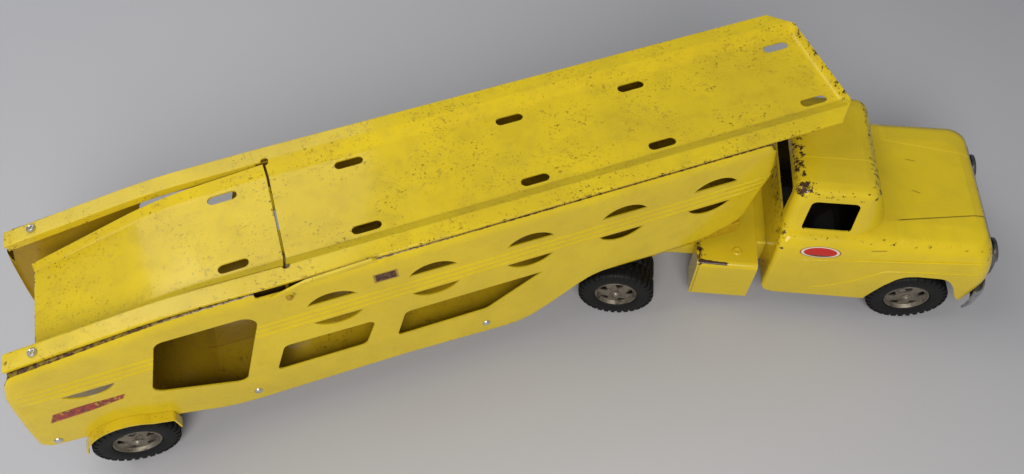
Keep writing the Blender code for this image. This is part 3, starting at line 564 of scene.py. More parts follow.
def panel_wear_and_groove_shade(s, xyz):
    x, y, z = xyz
    low = s.both(s.step(z, 33.0, 29.0), 0.35)
    nose = s.both(s.step(x, 44.0, 54.0), 0.55)
    # Chipped paint along the groove under the ledge, also standing in as painted shade there.
    groove_wear_and_shade = s.both(s.step(s.size(y), 55.4, 55.0), s.step(z, 126.0, 130.0))
    return s.either(low, nose, s.both(groove_wear_and_shade, 0.9))


def panel_marks(s, xyz, colour):
    """A faded red arrow near the tail, a small dark label behind the ramp lever and painted
    shade in the groove under the deck's ledge."""
    x, y, z = xyz
    place = s.local()
    # Painted shade in the groove under the ledge.
    groove = s.both(s.step(s.size(y), 55.3, 54.9), s.step(z, 126.0, 130.0))
    colour = s.mix(s.both(groove, 0.8), colour, (0.10, 0.050, 0.010))
    eaten = s.step(s.noise(place, 3.4, 5.0, 0.75, 6.0), 0.63, 0.57)
    along = s.plus(x, 428.0)
    middle = s.minus(s.minus(z, 88.5), s.both(along, 0.055))
    taper = s.minus(4.9, s.both(s.step(along, -2.0, 24.0), 2.2))
    across = s.step(s.minus(s.size(middle), taper), 0.4, -0.4)
    slant = s.plus(along, s.both(middle, -0.6))
    arrow = s.both(across, s.band(slant, -22.0, 24.5, 0.6))
    red = s.mix(s.step(s.noise(place, 4.0, 4.0, 0.7, 2.0), 0.4, 0.6), (0.36, 0.030, 0.012),
                (0.16, 0.022, 0.012))
    colour = s.mix(s.both(arrow, eaten), colour, red)
    label = s.both(s.band(x, -228.6, -212.6, 0.35), s.band(z, 138.4, 148.4, 0.35))
    inner = s.both(s.band(x, -227.2, -214.0, 0.3), s.band(z, 139.6, 147.2, 0.3))
    colour = s.mix(s.both(label, 0.8), colour, (0.30, 0.17, 0.03))
    maroon = s.mix(s.step(s.noise(place, 1.6, 3.0, 0.7), 0.52, 0.60), (0.050, 0.014, 0.008),
                   (0.17, 0.075, 0.02))
    return s.mix(inner, colour, maroon)


def cab_worn(s, xyz):
    x, y, z = xyz
    wide = s.size(y)
    high = s.step(z, 126.0, 130.0)
    corner = s.both(s.both(s.step(x, 104.0, 93.0), s.step(wide, 29.0, 40.0)), 1.2)
    rear = s.both(s.step(x, 99.0, 91.0), 0.80)
    front = s.both(s.step(x, 136.0, 142.0), 0.62)
    rim = s.both(s.step(wide, 41.0, 44.0), 0.40)
    roof = s.both(high, s.either(corner, rear, front, rim))
    pillar = s.both(s.both(s.step(x, 93.0, 88.0), s.band(z, 84.0, 100.0, 3.0)), 0.60)
    ridge = s.both(s.both(s.band(wide, 53.0, 57.5, 1.5), s.band(z, 91.0, 97.5)), 0.36)
    edge = s.both(s.both(s.step(x, 228.0, 232.0), s.band(z, 84.0, 97.0, 2.0)), 0.50)
    return s.either(roof, pillar, ridge, edge)


def cab_marks(s, xyz, colour):
    """Plain red oval badge on each door, painted shade in the hood creases (dark on the near
    side, faint on the far side) and old scratches.
    """
    x, y, z = xyz
    bonnet = s.step(z, 94.0, 96.5)
    crease = s.step(s.size(past_crease(s, x, y)), 0.5, 0.0)
    crease = s.both(s.both(crease, bonnet), s.step(x, 166.0, 171.0))
    # Painted shade in the hood creases, much darker on the near side.
    near = s.step(y, 0.0, -1.0)
    colour = s.mix(s.both(crease, s.plus(s.both(near, 0.55), 0.10)), colour,
                   (0.16, 0.11, 0.01))
    marks = s.either(s.streak(x, y, (182.0, -9.5), (187.5, -11.8), 0.35),
                     s.streak(x, y, (181.5, 19.5), (188.5, 18.2), 0.25))
    marks = s.either(s.both(marks, bonnet),
                     s.both(s.streak(x, z, (149.5, 89.0), (160.0, 90.0), 0.3),
                            s.step(y, -57.0, -59.0)))
    colour = s.mix(s.both(marks, 0.6), colour, (0.08, 0.04, 0.012))
    across = s.math("DIVIDE", s.minus(x, 115.0), 14.4)
    up = s.math("DIVIDE", s.minus(z, 84.4), 5.4)
    radius = s.math("SQRT", s.plus(s.both(across, across), s.both(up, up)))
    outside = s.step(s.size(y), 56.0, 58.0)
    colour = s.mix(s.both(s.step(radius, 1.03, 0.99), outside), colour, (0.23, 0.03, 0.015))
    colour = s.mix(s.both(s.step(radius, 0.97, 0.93), outside), colour, (0.72, 0.66, 0.50))
    inside = s.both(s.step(radius, 0.84, 0.80), outside)
    red = s.mix(s.step(z, 81.4, 81.8), (0.10, 0.05, 0.03), (0.50, 0.025, 0.018))
    return s.mix(inside, colour, red)


def past_crease(s, x, y):
    """Distance outward from the hood creases, which draw together toward the nose."""
    half = s.minus(37.0, s.both(s.minus(x, 169.5), 0.155))
    return s.minus(s.size(y), half)


def cab_relief(s, xyz):
    """Pressed creases along the hood and the roof."""
    x, y, z = xyz
    sunk = s.both(s.step(past_crease(s, x, y), -0.7, 0.7), s.step(z, 94.0, 96.5))
    sunk = s.both(sunk, s.step(x, 166.0, 171.0))
    roof = s.both(s.step(y, -15.6, -14.6), s.step(z, 133.0, 134.5))
    return s.plus(s.both(sunk, 0.8), s.both(roof, 0.25))


def tank_worn(s, xyz):
    x, y, z = xyz
    wide = s.size(y)
    top = s.both(s.band(wide, 58.0, 61.0), s.step(z, 54.0, 56.0))
    rear = s.both(s.step(x, 39.0, 33.5), s.step(z, 52.0, 57.0))
    fold = s.streak(x, z, (34.5, 57.6), (54.0, 57.3), 0.55)
    return s.either(s.both(top, 0.30), s.both(rear, 0.95), s.both(fold, 3.0))


def tank_marks(s, xyz, colour):
    """Dark line down the rear plate's joint."""
    x, y, _ = xyz
    seam = s.both(s.band(x, 33.4, 34.2, 0.3), s.step(s.size(y), 38.0, 40.0))
    return s.mix(s.both(seam, 0.5), colour, (0.07, 0.035, 0.012))


def chassis_inside_shade(s, xyz, colour):
    """Painted shade on the part of the chassis that lies inside the cab."""
    return s.mix(s.step(xyz[0], 86.0, 88.0), colour, (0.012, 0.009, 0.005))


def floor_marks(s, xyz, colour):
    """Lower deck: painted shade under the ramp and on the far part of the floor beyond a
    crease, the dark crease line itself and rust spots.
    """
    x, y, z = xyz
    place = s.local()
    low = s.step(z, 50.0, 48.6)
    # Painted shade toward the rear, under the ramp.
    colour = s.mix(s.both(s.step(x, -286.0, -304.0), 0.55), colour, (0.080, 0.040, 0.003))
    # Painted shade on the far part of the floor, beyond the crease.
    beyond = s.both(s.step(y, -16.5, -12.0), low)
    colour = s.mix(s.both(beyond, 0.45), colour, (0.17, 0.10, 0.012))
    crease = s.both(s.band(y, -16.2, -15.2, 0.4), low)
    spots = s.both(s.step(s.noise(place, 9.0, 5.0, 0.75, 31.0), 0.60, 0.64), low)
    return s.mix(s.both(s.either(crease, spots), 0.7), colour, (0.13, 0.065, 0.012))


YELLOW_DECK = yellow("deck_paint", dirt=0.8, speckle=0.75, chips=0.6, worn=deck_worn,
                     marks=deck_marks)
YELLOW_RAMP = yellow("ramp_paint", dirt=0.7, speckle=0.65, chips=0.5, worn=ramp_worn)
YELLOW_PANEL = yellow("panel_paint", dirt=0.45, speckle=0.15, chips=0.3, worn=panel_wear_and_groove_shade,
                      marks=panel_marks)
YELLOW_TRAILER = yellow("trailer_paint", dirt=0.9, speckle=0.5, chips=0.5)
YELLOW_CAB = yellow("cab_paint", swung=True, dirt=0.35, chips=0.5, worn=cab_worn,
                    marks=cab_marks, relief=cab_relief)
YELLOW_TANK = yellow("tank_paint", swung=True, dirt=0.3, chips=0.3, worn=tank_worn,
                     marks=tank_marks)
YELLOW_CHASSIS = yellow("chassis_paint", swung=True, dirt=0.9, chips=0.6, marks=chassis_inside_shade)
# Painted shade: the shade argument darkens these insides of the trailer and cab toward the shade
# colours.
YELLOW_INSIDE_SHADED = yellow("inner_shaded_paint", dirt=1.0, speckle=0.6, chips=0.8, shade=0.35)
YELLOW_FLOOR_SHADED = yellow("lower_deck_shaded_paint", dirt=1.0, speckle=0.7, chips=0.8, marks=floor_marks,
                      shade=0.55)
CAB_INSIDE_SHADE = yellow("cab_inner_shade", swung=True, dirt=1.0, chips=0.6, shade=0.02,
                    under=CAB_SHADE_COLOUR)
HUB_STEEL = metal("hub_steel", (0.27, 0.24, 0.19), (0.08, 0.068, 0.052), 0.50, 0.9)
ROD_STEEL = metal("rod_steel", (0.66, 0.65, 0.63), (0.28, 0.27, 0.25), 0.22, 0.6)
AXLE_STEEL = metal("axle_steel", (0.30, 0.27, 0.22), (0.12, 0.10, 0.08), 0.42, 0.9)
BARE_STEEL = metal("bare_steel", (0.34, 0.33, 0.31), (0.12, 0.10, 0.08), 0.42, 0.8)
CHROME = metal("bright_plate", (0.50, 0.51, 0.52), (0.20, 0.19, 0.18), 0.12, 0.7, True, True)
GRILLE_METAL = metal("grille_metal", (0.20, 0.20, 0.20), (0.05, 0.048, 0.045), 0.25, 0.8, True)
RUBBER = rubber("tyre_rubber")
LAMP = lamp_glass("lamp_glass")


# ======================================================================================
# trailer
# ======================================================================================
def bent(x, fall):
    """Height of the deck's gentle rise, eased down behind the bend."""
    past = min(max(BEND_X + BEND_REACH - x, 0.0), 2.0 * BEND_REACH)
    beyond = max(BEND_X - BEND_REACH - x, 0.0)
    return DECK_Z + SLOPE * x - fall * (past ** 2 / (4.0 * BEND_REACH) + beyond)


def rail(x):
    return bent(x, RAIL_FALL)


def stations(start, *ends):
    """Places along the sheet, rear to front, close together through the bend."""
    turn = [BEND_X + BEND_REACH * (k / 4.0 - 1.0) for k in range(9)]
    return [start] + turn + list(ends)


def rail_inset(x):
    return RAIL_TAPER * min(max((TAPER_X - x) / (TAPER_X - DECK_REAR), 0.0), 1.0)


def deck_section(x, outer, rise, lift):
    outer -= rail_inset(x)
    inner = min(LEDGE_IN - rail_inset(x), outer - 1.5)
    half = [(outer, LEDGE_LIP + lift), (outer, LEDGE_RISE + lift), (inner, LEDGE_RISE + lift),
            (FLOOR_HALF, rise)]
    line = softened(mirrored(half), [0.9, 2.0, 3.0, 3.0, 2.0, 0.9], 4)
    return sheet_outline(line, SHEET)


def make_deck():
    rows = [(x, LEDGE_OUT, 0.0, 0.0) for x in stations(DECK_REAR, TAPER_X, 97.0)]
    rows += [(102.2, 49.5, 0.0, 0.0), (107.0, 44.8, 0.0, 0.0), (108.6, 43.2, 0.7, 0.1),
             (110.0, 41.6, 2.3, 0.3), (110.9, 40.5, 4.4, 0.5), (DECK_FRONT, 39.6, 6.6, 0.6)]
    rings = [[(x, y, rail(x) + z) for y, z in deck_section(x, outer, rise, lift)]
             for x, outer, rise, lift in rows]
    mesh = loft("deck", [rings])
    edge, side = RAMP_EDGE + 1.0, RAMP_HALF + 1.6
    tip = side - RAIL_TAPER
    outline = ([(-470.0, -tip), (DECK_REAR, -tip), (TAPER_X, -side)]
               + arc((edge, -side), 2.6, 180, 450, 18) + arc((edge, side), 2.6, 270, 540, 18)
               + [(TAPER_X, side), (DECK_REAR, tip), (-470.0, tip)])
    cuts = [prism(outline, "Z", 110, 180)]
    cuts += [prism(stadium(x, sign * SLOT_Y, SLOT_LENGTH, SLOT_WIDTH), "Z", 140, 180)
             for x in SLOTS_X for sign in (-1, 1)]
    mesh = combined(mesh, loft("cuts", cuts))
    flanges = []
    for sign in (-1, 1):
        rings = []
        for x in stations(DECK_REAR + 0.8, TAPER_X):
            low, high = sorted(sign * (side + out - rail_inset(x)) for out in (-0.3, 0.9))
            top = rail(x) + LEDGE_RISE
            rings.append([(x, low, top - 5.5), (x, high, top - 5.5), (x, high, top - 0.3),
                          (x, low, top - 0.3)])
        flanges.append(rings)
    mesh = combined(mesh, loft("flanges", flanges), "UNION")
    add("upper_deck_sheet", mesh, TRAILER, "trailer", YELLOW_DECK, ["upper_deck"], 25.0)


NOSE = ((20.0, 22.0), (74.5, 22.0), (79.5, 34.0), (84.0, 40.0), (90.0, 43.5), (115.0, 49.0),
        (137.0, 55.3), (144.0, 56.3), (150.0, 55.4), (154.0, 53.4), (157.5, 50.2),
        (160.5, 47.0), (170.0, 44.0))
TAIL = ((20.0, -466.0), (51.0, -468.0), (56.0, -472.0), (76.0, -469.0), (97.0, -465.0),
        (115.0, -461.5), (126.0, -458.7), (136.1, -454.9), (143.2, -450.4), (149.5, -446.5),
        (170.0, -444.5))


def along(table, z):
    """Where an upright edge of the panel runs, read from (height, x) pairs."""
    for (z0, x0), (z1, x1) in zip(table, table[1:]):
        if z <= z1:
            return x0 + (x1 - x0) * (z - z0) / (z1 - z0)
    return table[-1][1]


def panel_section(x, ribs):
    """Half cross-section as (y, z, outward y, outward z), outer face first."""
    top = rail(x) + LEDGE_RISE - 2.5
    outer, inner = [(43.9, top, 0.0, 1.0)], [(43.9, top - SHEET, 0.0, 1.0)]
    for i in range(11):
        angle = math.radians(9.0 * i)
        cos, sin = math.cos(angle), math.sin(angle)
        reach, foot = PANEL_Y - ROLL_START_Y, top - ROLL_HEIGHT
        outer.append((ROLL_START_Y + reach * sin, foot + ROLL_HEIGHT * cos, sin, cos))
        inner.append((ROLL_START_Y + (reach - SHEET) * sin, foot + (ROLL_HEIGHT - SHEET) * cos,
                      sin, cos))
    middle = 124.2 + SLOPE * x
    for offset in (5.5, 0.0, -5.5):
        for rise, out in ((1.5, 0.0), (0.9, 0.35), (0.35, 0.75), (-0.35, 0.75), (-0.9, 0.35),
                          (-1.5, 0.0)):
            outer.append((PANEL_Y + out * ribs, middle + offset + rise, 1.0, 0.0))
    levels = (110.0, 103.0, 97.0, 90.0, 87.0, 84.0, 81.7, 79.5, 77.0, 74.5, 66.0, 56.0, 51.0, 20.0)
    outer += [(PANEL_Y, z, 1.0, 0.0) for z in levels]
    inner += [(PANEL_Y - SHEET, z, 1.0, 0.0) for z in (140.0, 126.0, 118.0) + levels]
    return outer + inner[::-1]


def panel_rings(sign):
    """Sections from tail to nose; both upright edges are rolled inward."""
    rolled = (0.0, 0.35, 0.9, 1.7, 2.7, 4.0, 7.0, 16.0)
    rows = [(TAIL, -449.0 + d, d, 1.0) for d in rolled]
    rows += [(None, x, 16.0, 0.0) for x in stations(-428.0, TAPER_X, 4.0)]
    rows += [(NOSE, 50.0 - d, d, -1.0) for d in reversed(rolled)]
    rings = []
    for table, x, inside, direction in rows:
        turn = 0.75 * max(EDGE_ROLL - inside, 0.0)
        inset = EDGE_ROLL - math.sqrt(EDGE_ROLL ** 2 - turn ** 2)
        ribs = min(max((inside - 5.0) / 9.0, 0.0), 1.0)
        ring = []
        for y, z, out_y, out_z in panel_section(x, ribs):
            place = along(table, z) + direction * inside if table else x
            ring.append((place, sign * (y - out_y * inset), z - out_z * inset))
        rings.append(ring)
    return rings


def panel_outline():
    tail = [(-490.0, 190.0, 1), (-490.0, 51.8, 1), (-468.0, 51.8, 2.0), (-450.0, 50.2, 0.5)]
    wheel = [(x, z, 0.4) for x, z in arc((TRAILER_AXLE, AXLE_Z), 31.5, 140, 26, 24)]
    belly = [(-384.0, 42.6), (-372.0, 38.5), (-359.0, 33.5), (-346.0, 30.5), (-330.0, 29.5),
             (-264.0, 30.5), (-219.0, 31.0), (-157.0, 28.0), (-141.0, 27.6), (-131.0, 28.8),
             (-122.0, 33.0), (-109.0, 42.0), (-85.0, 60.5), (-78.0, 65.0), (-69.0, 67.8),
             (-56.0, 68.8), (-20.0, 69.2), (4.0, 70.5), (21.6, 74.2), (80.0, 74.2)]
    return rounded(tail + wheel + [(x, z, 30.0) for x, z in belly] + [(80.0, 190.0, 1)], 3)


def lens_half(x, z, direction):
    half_length, depth = 16.6, 9.2
    radius = (half_length ** 2 + depth ** 2) / (2.0 * depth)
    spread = math.degrees(math.asin(half_length / radius))
    centre = (x, z + direction * (depth - radius))
    return arc(centre, radius, 90.0 * direction - spread, 90.0 * direction + spread, 20)


def panel_openings():
    windows = [
        rounded([(-365.5, 141.0, 8.0), (-301.5, 141.0, 9.0), (-331.5, 60.5, 6.0),
                 (-388.0, 83.0, 9.0)], 8),
        rounded([(-297.5, 93.5, 6.0), (-235.0, 92.0, 4.0), (-246.5, 62.5, 6.0),
                 (-310.0, 62.5, 3.5)], 8),
        rounded([(-214.5, 91.5, 6.0), (-114.0, 91.8, 0.6), (-157.5, 61.8, 8.0),
                 (-224.5, 61.0, 3.5)], 8),
    ]
    centres = [-257.0 + 66.5 * i for i in range(5)]
    upper = [lens_half(x, 136.2 + SLOPE * x, 1) for x in centres]
    lower = [lens_half(x, 115.2 + SLOPE * x, -1) for x in centres + [-417.5]]
    return windows + upper + lower


def make_panel(side, sign):
    mesh = loft("panel", [panel_rings(sign)])
    low, high = sorted((sign * 40.0, sign * 70.0))
    mesh = combined(mesh, loft("edge", [prism(panel_outline(), "Y", low, high)]), "INTERSECT")
    low, high = sorted((sign * 54.0, sign * 66.0))
    cuts = [prism(outline, "Y", low, high) for outline in panel_openings()]
    mesh = combined(mesh, loft("openings", cuts))
    if side == "right":
        notch = rounded([(-299.0, 157.4, 2.0), (-269.0, 157.4, 2.0), (-269.0, 175.0, 2.0),
                         (-299.0, 175.0, 2.0)])
        mesh = combined(mesh, loft("notch", [prism(notch, "Y", -70, -48)]))
    # Inner faces get the inner paint with painted shade.
    add("side_sheet_" + side, mesh, TRAILER, "trailer", YELLOW_PANEL, ["side_panel_" + side], 25.0,
        (YELLOW_INSIDE_SHADED, lambda middle, normal: normal.y * sign < -0.3))


def make_lever_pocket():
    """Plate painted near black as painted shade, closing the space behind the ramp lever's notch.
    """
    plate = loft("pocket", [box(-302.0, -262.0, -50.4, -49.6, 146.0, 156.6)])
    add("lever_pocket", plate, TRAILER, "trailer", CAB_INSIDE_SHADE)


def make_fender(side, sign):
    line = [(-449.0, 38.5)] + arc((TRAILER_AXLE, AXLE_Z), 32.4, 155, 52, 22)
    line += fillet(line[-1], (-385.4, 49.6), (-384.9, 36.4), 3.0, 4) + [(-384.9, 36.4)]
    low, high = sorted((sign * (PANEL_Y + 0.1), sign * (PANEL_Y + 7.2)))
    mesh = loft("fender", [prism(sheet_outline(line, SHEET), "Y", low, high)])
    add("fender_strip_" + side, mesh, TRAILER, "trailer", YELLOW_TRAILER, ["fender_" + side])


def make_rivets():
    dome = [(0.0, 1.7), (0.8, 1.65), (1.7, 1.35), (2.5, 0.8), (3.0, 0.15), (3.0, -0.2),
            (1.2, -0.4), (1.2, -3.0), (0.0, -3.0)]
    ring = [(0.0, -0.6), (0.9, -0.5), (1.2, 0.6), (1.45, 1.5), (1.9, 1.9), (2.5, 1.6),
            (2.9, 0.8), (2.9, 0.0), (1.2, -0.2), (1.2, -4.4), (0.0, -4.4)]
    for side, sign in SIDES:
        for i, (x, z) in enumerate(BELLY_RIVETS):
            place = (TRAILER @ Matrix.Translation(Vector((x, sign * (PANEL_Y + 0.2), z)) * MM)
                     @ Matrix.Rotation(math.radians(-90.0 * sign), 4, "X"))
            add("rivet_%s_%d" % (side, i), turned("rivet", dome, 24, False), place, "trailer",
                ROD_STEEL, ["belly_rivet_%s_%d" % (side, i + 1)])
        x, y = RAIL_RIVET
        lean = Matrix.Rotation(-math.atan(RAIL_FALL + SLOPE), 4, "Y")
        spot = Vector((x, sign * y, rail(x) + LEDGE_RISE + 0.2)) * MM
        place = TRAILER @ Matrix.Translation(spot) @ lean
        add("tube_rivet_" + side, turned("rivet", ring, 24, False), place, "trailer", ROD_STEEL,
            ["rail_rivet_" + side])


# ======================================================================================
# ramp
# ======================================================================================
def make_ramp():
    places = [(x, 0.0) for x in reversed(stations(RAMP_REAR + 1.6, RAMP_EDGE - 0.5))]
    rings = []
    for x, lip in places + [(RAMP_REAR + 1.5, 4.5), (RAMP_REAR + 0.4, 4.5), (RAMP_REAR, 4.3)]:
        share = (RAMP_EDGE - x) / (RAMP_EDGE - RAMP_REAR)
        half = [(RAMP_HALF - 6.4 * share, 4.9 - 1.8 * share), (FLOOR_HALF - 2.8 * share, 0.0)]
        section = sheet_outline(softened(mirrored(half), 5.0, 5), SHEET)
        base = bent(x, RAMP_FALL) - HINGE[2] - (0.4 if x == RAMP_REAR else 0.0)
        rings.append([(x - HINGE[0], y, base + z - (lip if i >= len(section) // 2 else 0.0))
                      for i, (y, z) in enumerate(section)])
    mesh = loft("ramp", [rings])
    slots = [prism(stadium(RAMP_SLOT_X - HINGE[0], sign * SLOT_Y, SLOT_LENGTH, SLOT_WIDTH),
                   "Z", -8, 12) for sign in (-1, 1)]
    mesh = combined(mesh, loft("slots", slots))
    place = (TRAILER @ Matrix.Translation(Vector(HINGE) * MM)
             @ Matrix.Rotation(math.radians(-RAMP_DROP), 4, "Y"))
    knuckles = [loft("knuckle", [prism(circle((0, 0), 2.9, 24), "Y", low, high)])
                for low, high in ((-26.0, -10.0), (10.0, 26.0))]
    mesh = joined("ramp", [mesh] + knuckles)
    add("ramp_sheet", mesh, place, "ramp", YELLOW_RAMP, ["ramp"], 25.0)


# ======================================================================================
# wheels
# ======================================================================================
def tyre_mesh():
    half = [(16.4, 6.3), (16.9, 7.0), (18.2, 7.6), (20.5, 8.0), (23.0, 8.05), (25.2, 7.7),
            (26.8, 6.9), (27.7, 5.6), (28.0, 4.0), (28.0, 0.5)]
    profile = half + [(r, -h) for r, h in reversed(half)] + [(16.4, 0.0)]
    parts = [turned("tyre", profile, 96)]
    for side in (1.0, -1.0):
        lug = [(24.2, 7.4), (25.6, 8.15), (27.6, 7.7), (28.7, 6.6), (29.0, 5.2), (29.0, 0.9),
               (27.6, 0.9), (27.5, 5.0), (26.4, 6.6)]
        form = bmesh.new()
        for k in range(32):
            angle = 2.0 * math.pi * (k + (0.5 if side < 0 else 0.0)) / 32
            loops = []
            for across in (-1.45, 1.45):
                loops.append([form.verts.new(
                    Matrix.Rotation(angle, 3, "Z") @ Vector((r, across, side * h)) * MM)
                    for r, h in lug])
            for i in range(len(lug)):
                j = (i + 1) % len(lug)
                form.faces.new((loops[0][i], loops[0][j], loops[1][j], loops[1][i]))
            form.faces.new(loops[0][::-1])
            form.faces.new(loops[1])
        bmesh.ops.recalc_face_normals(form, faces=form.faces)
        mesh = bpy.data.meshes.new("lugs")
        form.to_mesh(mesh)
        form.free()
        parts.append(mesh)
    return joined("tyre", parts)


def hub_mesh(depth):
    profile = [(2.7, 6.1), (5.0, 6.1), (5.6, 5.7), (6.6, 5.6), (9.0, 5.3), (12.6, 4.6),
               (13.6, 4.5), (14.2, 5.0), (14.6, 6.3), (15.2, 6.9), (15.9, 6.7), (16.3, 6.0),
               (16.3, -depth), (15.2, -depth), (15.2, 3.4), (13.4, 3.3), (9.0, 4.1), (2.7, 4.3)]
    mesh = turned("hub", profile, 80)
    holes = []
    for i in range(5):
        angle = math.radians(90.0 + 72.0 * i)
        out = Vector((math.cos(angle), math.sin(angle)))
        across = Vector((-out.y, out.x))
        corners = [out * 13.1 - across * 4.9, out * 13.1 + across * 4.9, out * 6.8]
        holes.append(prism(rounded([(c.x, c.y, 1.5) for c in corners], 4), "Z", 0.0, 9.0))
    return combined(mesh, loft("holes", holes))


def axle_mesh(wheel_y):
    reach = wheel_y + 6.5
    half = [(0.0, reach + 2.0), (0.9, reach + 1.95), (1.8, reach + 1.6), (2.3, reach + 0.9),
            (2.6, reach + 0.5), (3.4, reach + 0.4), (4.0, reach), (2.4, reach - 0.2)]
    profile = half + [(r, -h) for r, h in reversed(half)]
    return turned("axle", profile, 32, False)


def make_wheels(label, place, x, wheel_y, bodies, hub_depth, tyres, spin):
    for side, sign in SIDES:
        flip = Matrix.Rotation(math.radians(-90.0 * sign), 4, "X")
        spot = place @ Matrix.Translation(Vector((x, sign * wheel_y, AXLE_Z)) * MM) @ flip
        body = bodies + side
        turn = Matrix.Rotation(math.radians(spin), 4, "Z")
        add("hub_%s_%s" % (label, side), hub_mesh(hub_depth), spot @ turn, body, HUB_STEEL,
            ["%s_hub_%s" % (label, side)])
        for i, (node, inset) in enumerate(tyres):
            back = Matrix.Translation(Vector((0.0, 0.0, -inset)) * MM)
            add("tyre_%s_%s_%d" % (label, side, i), tyre_mesh(), spot @ back, body, RUBBER,
                [node + side], 40.0)
    spot = place @ Matrix.Translation(Vector((x, 0.0, AXLE_Z)) * MM)
    add("axle_%s" % label, axle_mesh(wheel_y), spot @ Matrix.Rotation(math.radians(90.0), 4, "X"),
        "trailer" if label == "trailer" else "tractor", AXLE_STEEL, [label + "_axle"])


# ======================================================================================
# tractor
# ======================================================================================
BODY = ((26.0, 84.5, 237.0, 61.6, 4.0, 9.0), (50.0, 84.5, 241.0, 62.5, 4.0, 10.0),
        (62.0, 84.5, 241.7, 62.5, 4.0, 10.0), (74.0, 84.5, 239.5, 62.3, 4.0, 10.5),
        (83.0, 84.5, 236.9, 61.4, 4.5, 11.0), (90.0, 84.9, 234.3, 59.4, 5.0, 12.0),
        (94.3, 86.2, 231.8, 56.0, 6.0, 12.5), (96.6, 88.6, 229.0, 51.0, 6.0, 12.0),
        (98.2, 95.0, 222.0, 38.0, 6.0, 10.0))
CABIN = ((90.0, 86.0, 161.0, 52.8, 8.0, 24.0), (98.0, 86.0, 159.5, 51.4, 8.0, 23.0),
         (112.0, 86.5, 153.8, 48.8, 8.0, 17.0), (126.0, 87.3, 147.4, 46.8, 8.0, 11.0),
         (131.0, 88.4, 144.6, 45.4, 7.0, 8.0), (134.0, 91.0, 141.2, 42.4, 6.0, 7.0),
         (135.4, 97.0, 135.0, 36.0, 5.0, 6.0))


def refined(rows, steps=4):
    """The same table with smooth in-between rows."""
    result = []
    for i in range(len(rows) - 1):
        a, b = rows[max(i - 1, 0)], rows[i]
        c, d = rows[i + 1], rows[min(i + 2, len(rows) - 1)]
        for k in range(steps):
            t = k / steps
            row = []
            for p, q, r, u in zip(a, b, c, d):
                first, last = 0.35 * (r - p), 0.35 * (u - q)
                row.append(q * (2 * t ** 3 - 3 * t ** 2 + 1) + first * (t ** 3 - 2 * t ** 2 + t)
                           + r * (3 * t ** 2 - 2 * t ** 3) + last * (t ** 3 - t ** 2))
            result.append(tuple(row))
    return result + [rows[-1]]


def plan_ring(z, rear, front, half, rear_radius, front_radius, inset=0.0):
    rear, front, half = rear + inset, front - inset, half - inset
    corners = [(rear, -half, rear_radius), (front, -half, front_radius),
               (front, half, front_radius), (rear, half, rear_radius)]
    return [(x, y, z) for x, y in rounded(corners, 10)]


def in_cab(middle, normal):
    """True for the inner faces of the pressing."""
    hub = Vector((118.0, 0.0, 92.0)) if middle.z > 98.5 else Vector((min(middle.x, 215.0), 0, 60))
    if middle.x < 90.0:
        return normal.x > 0.5
    return normal.dot(middle - hub) < 0.0


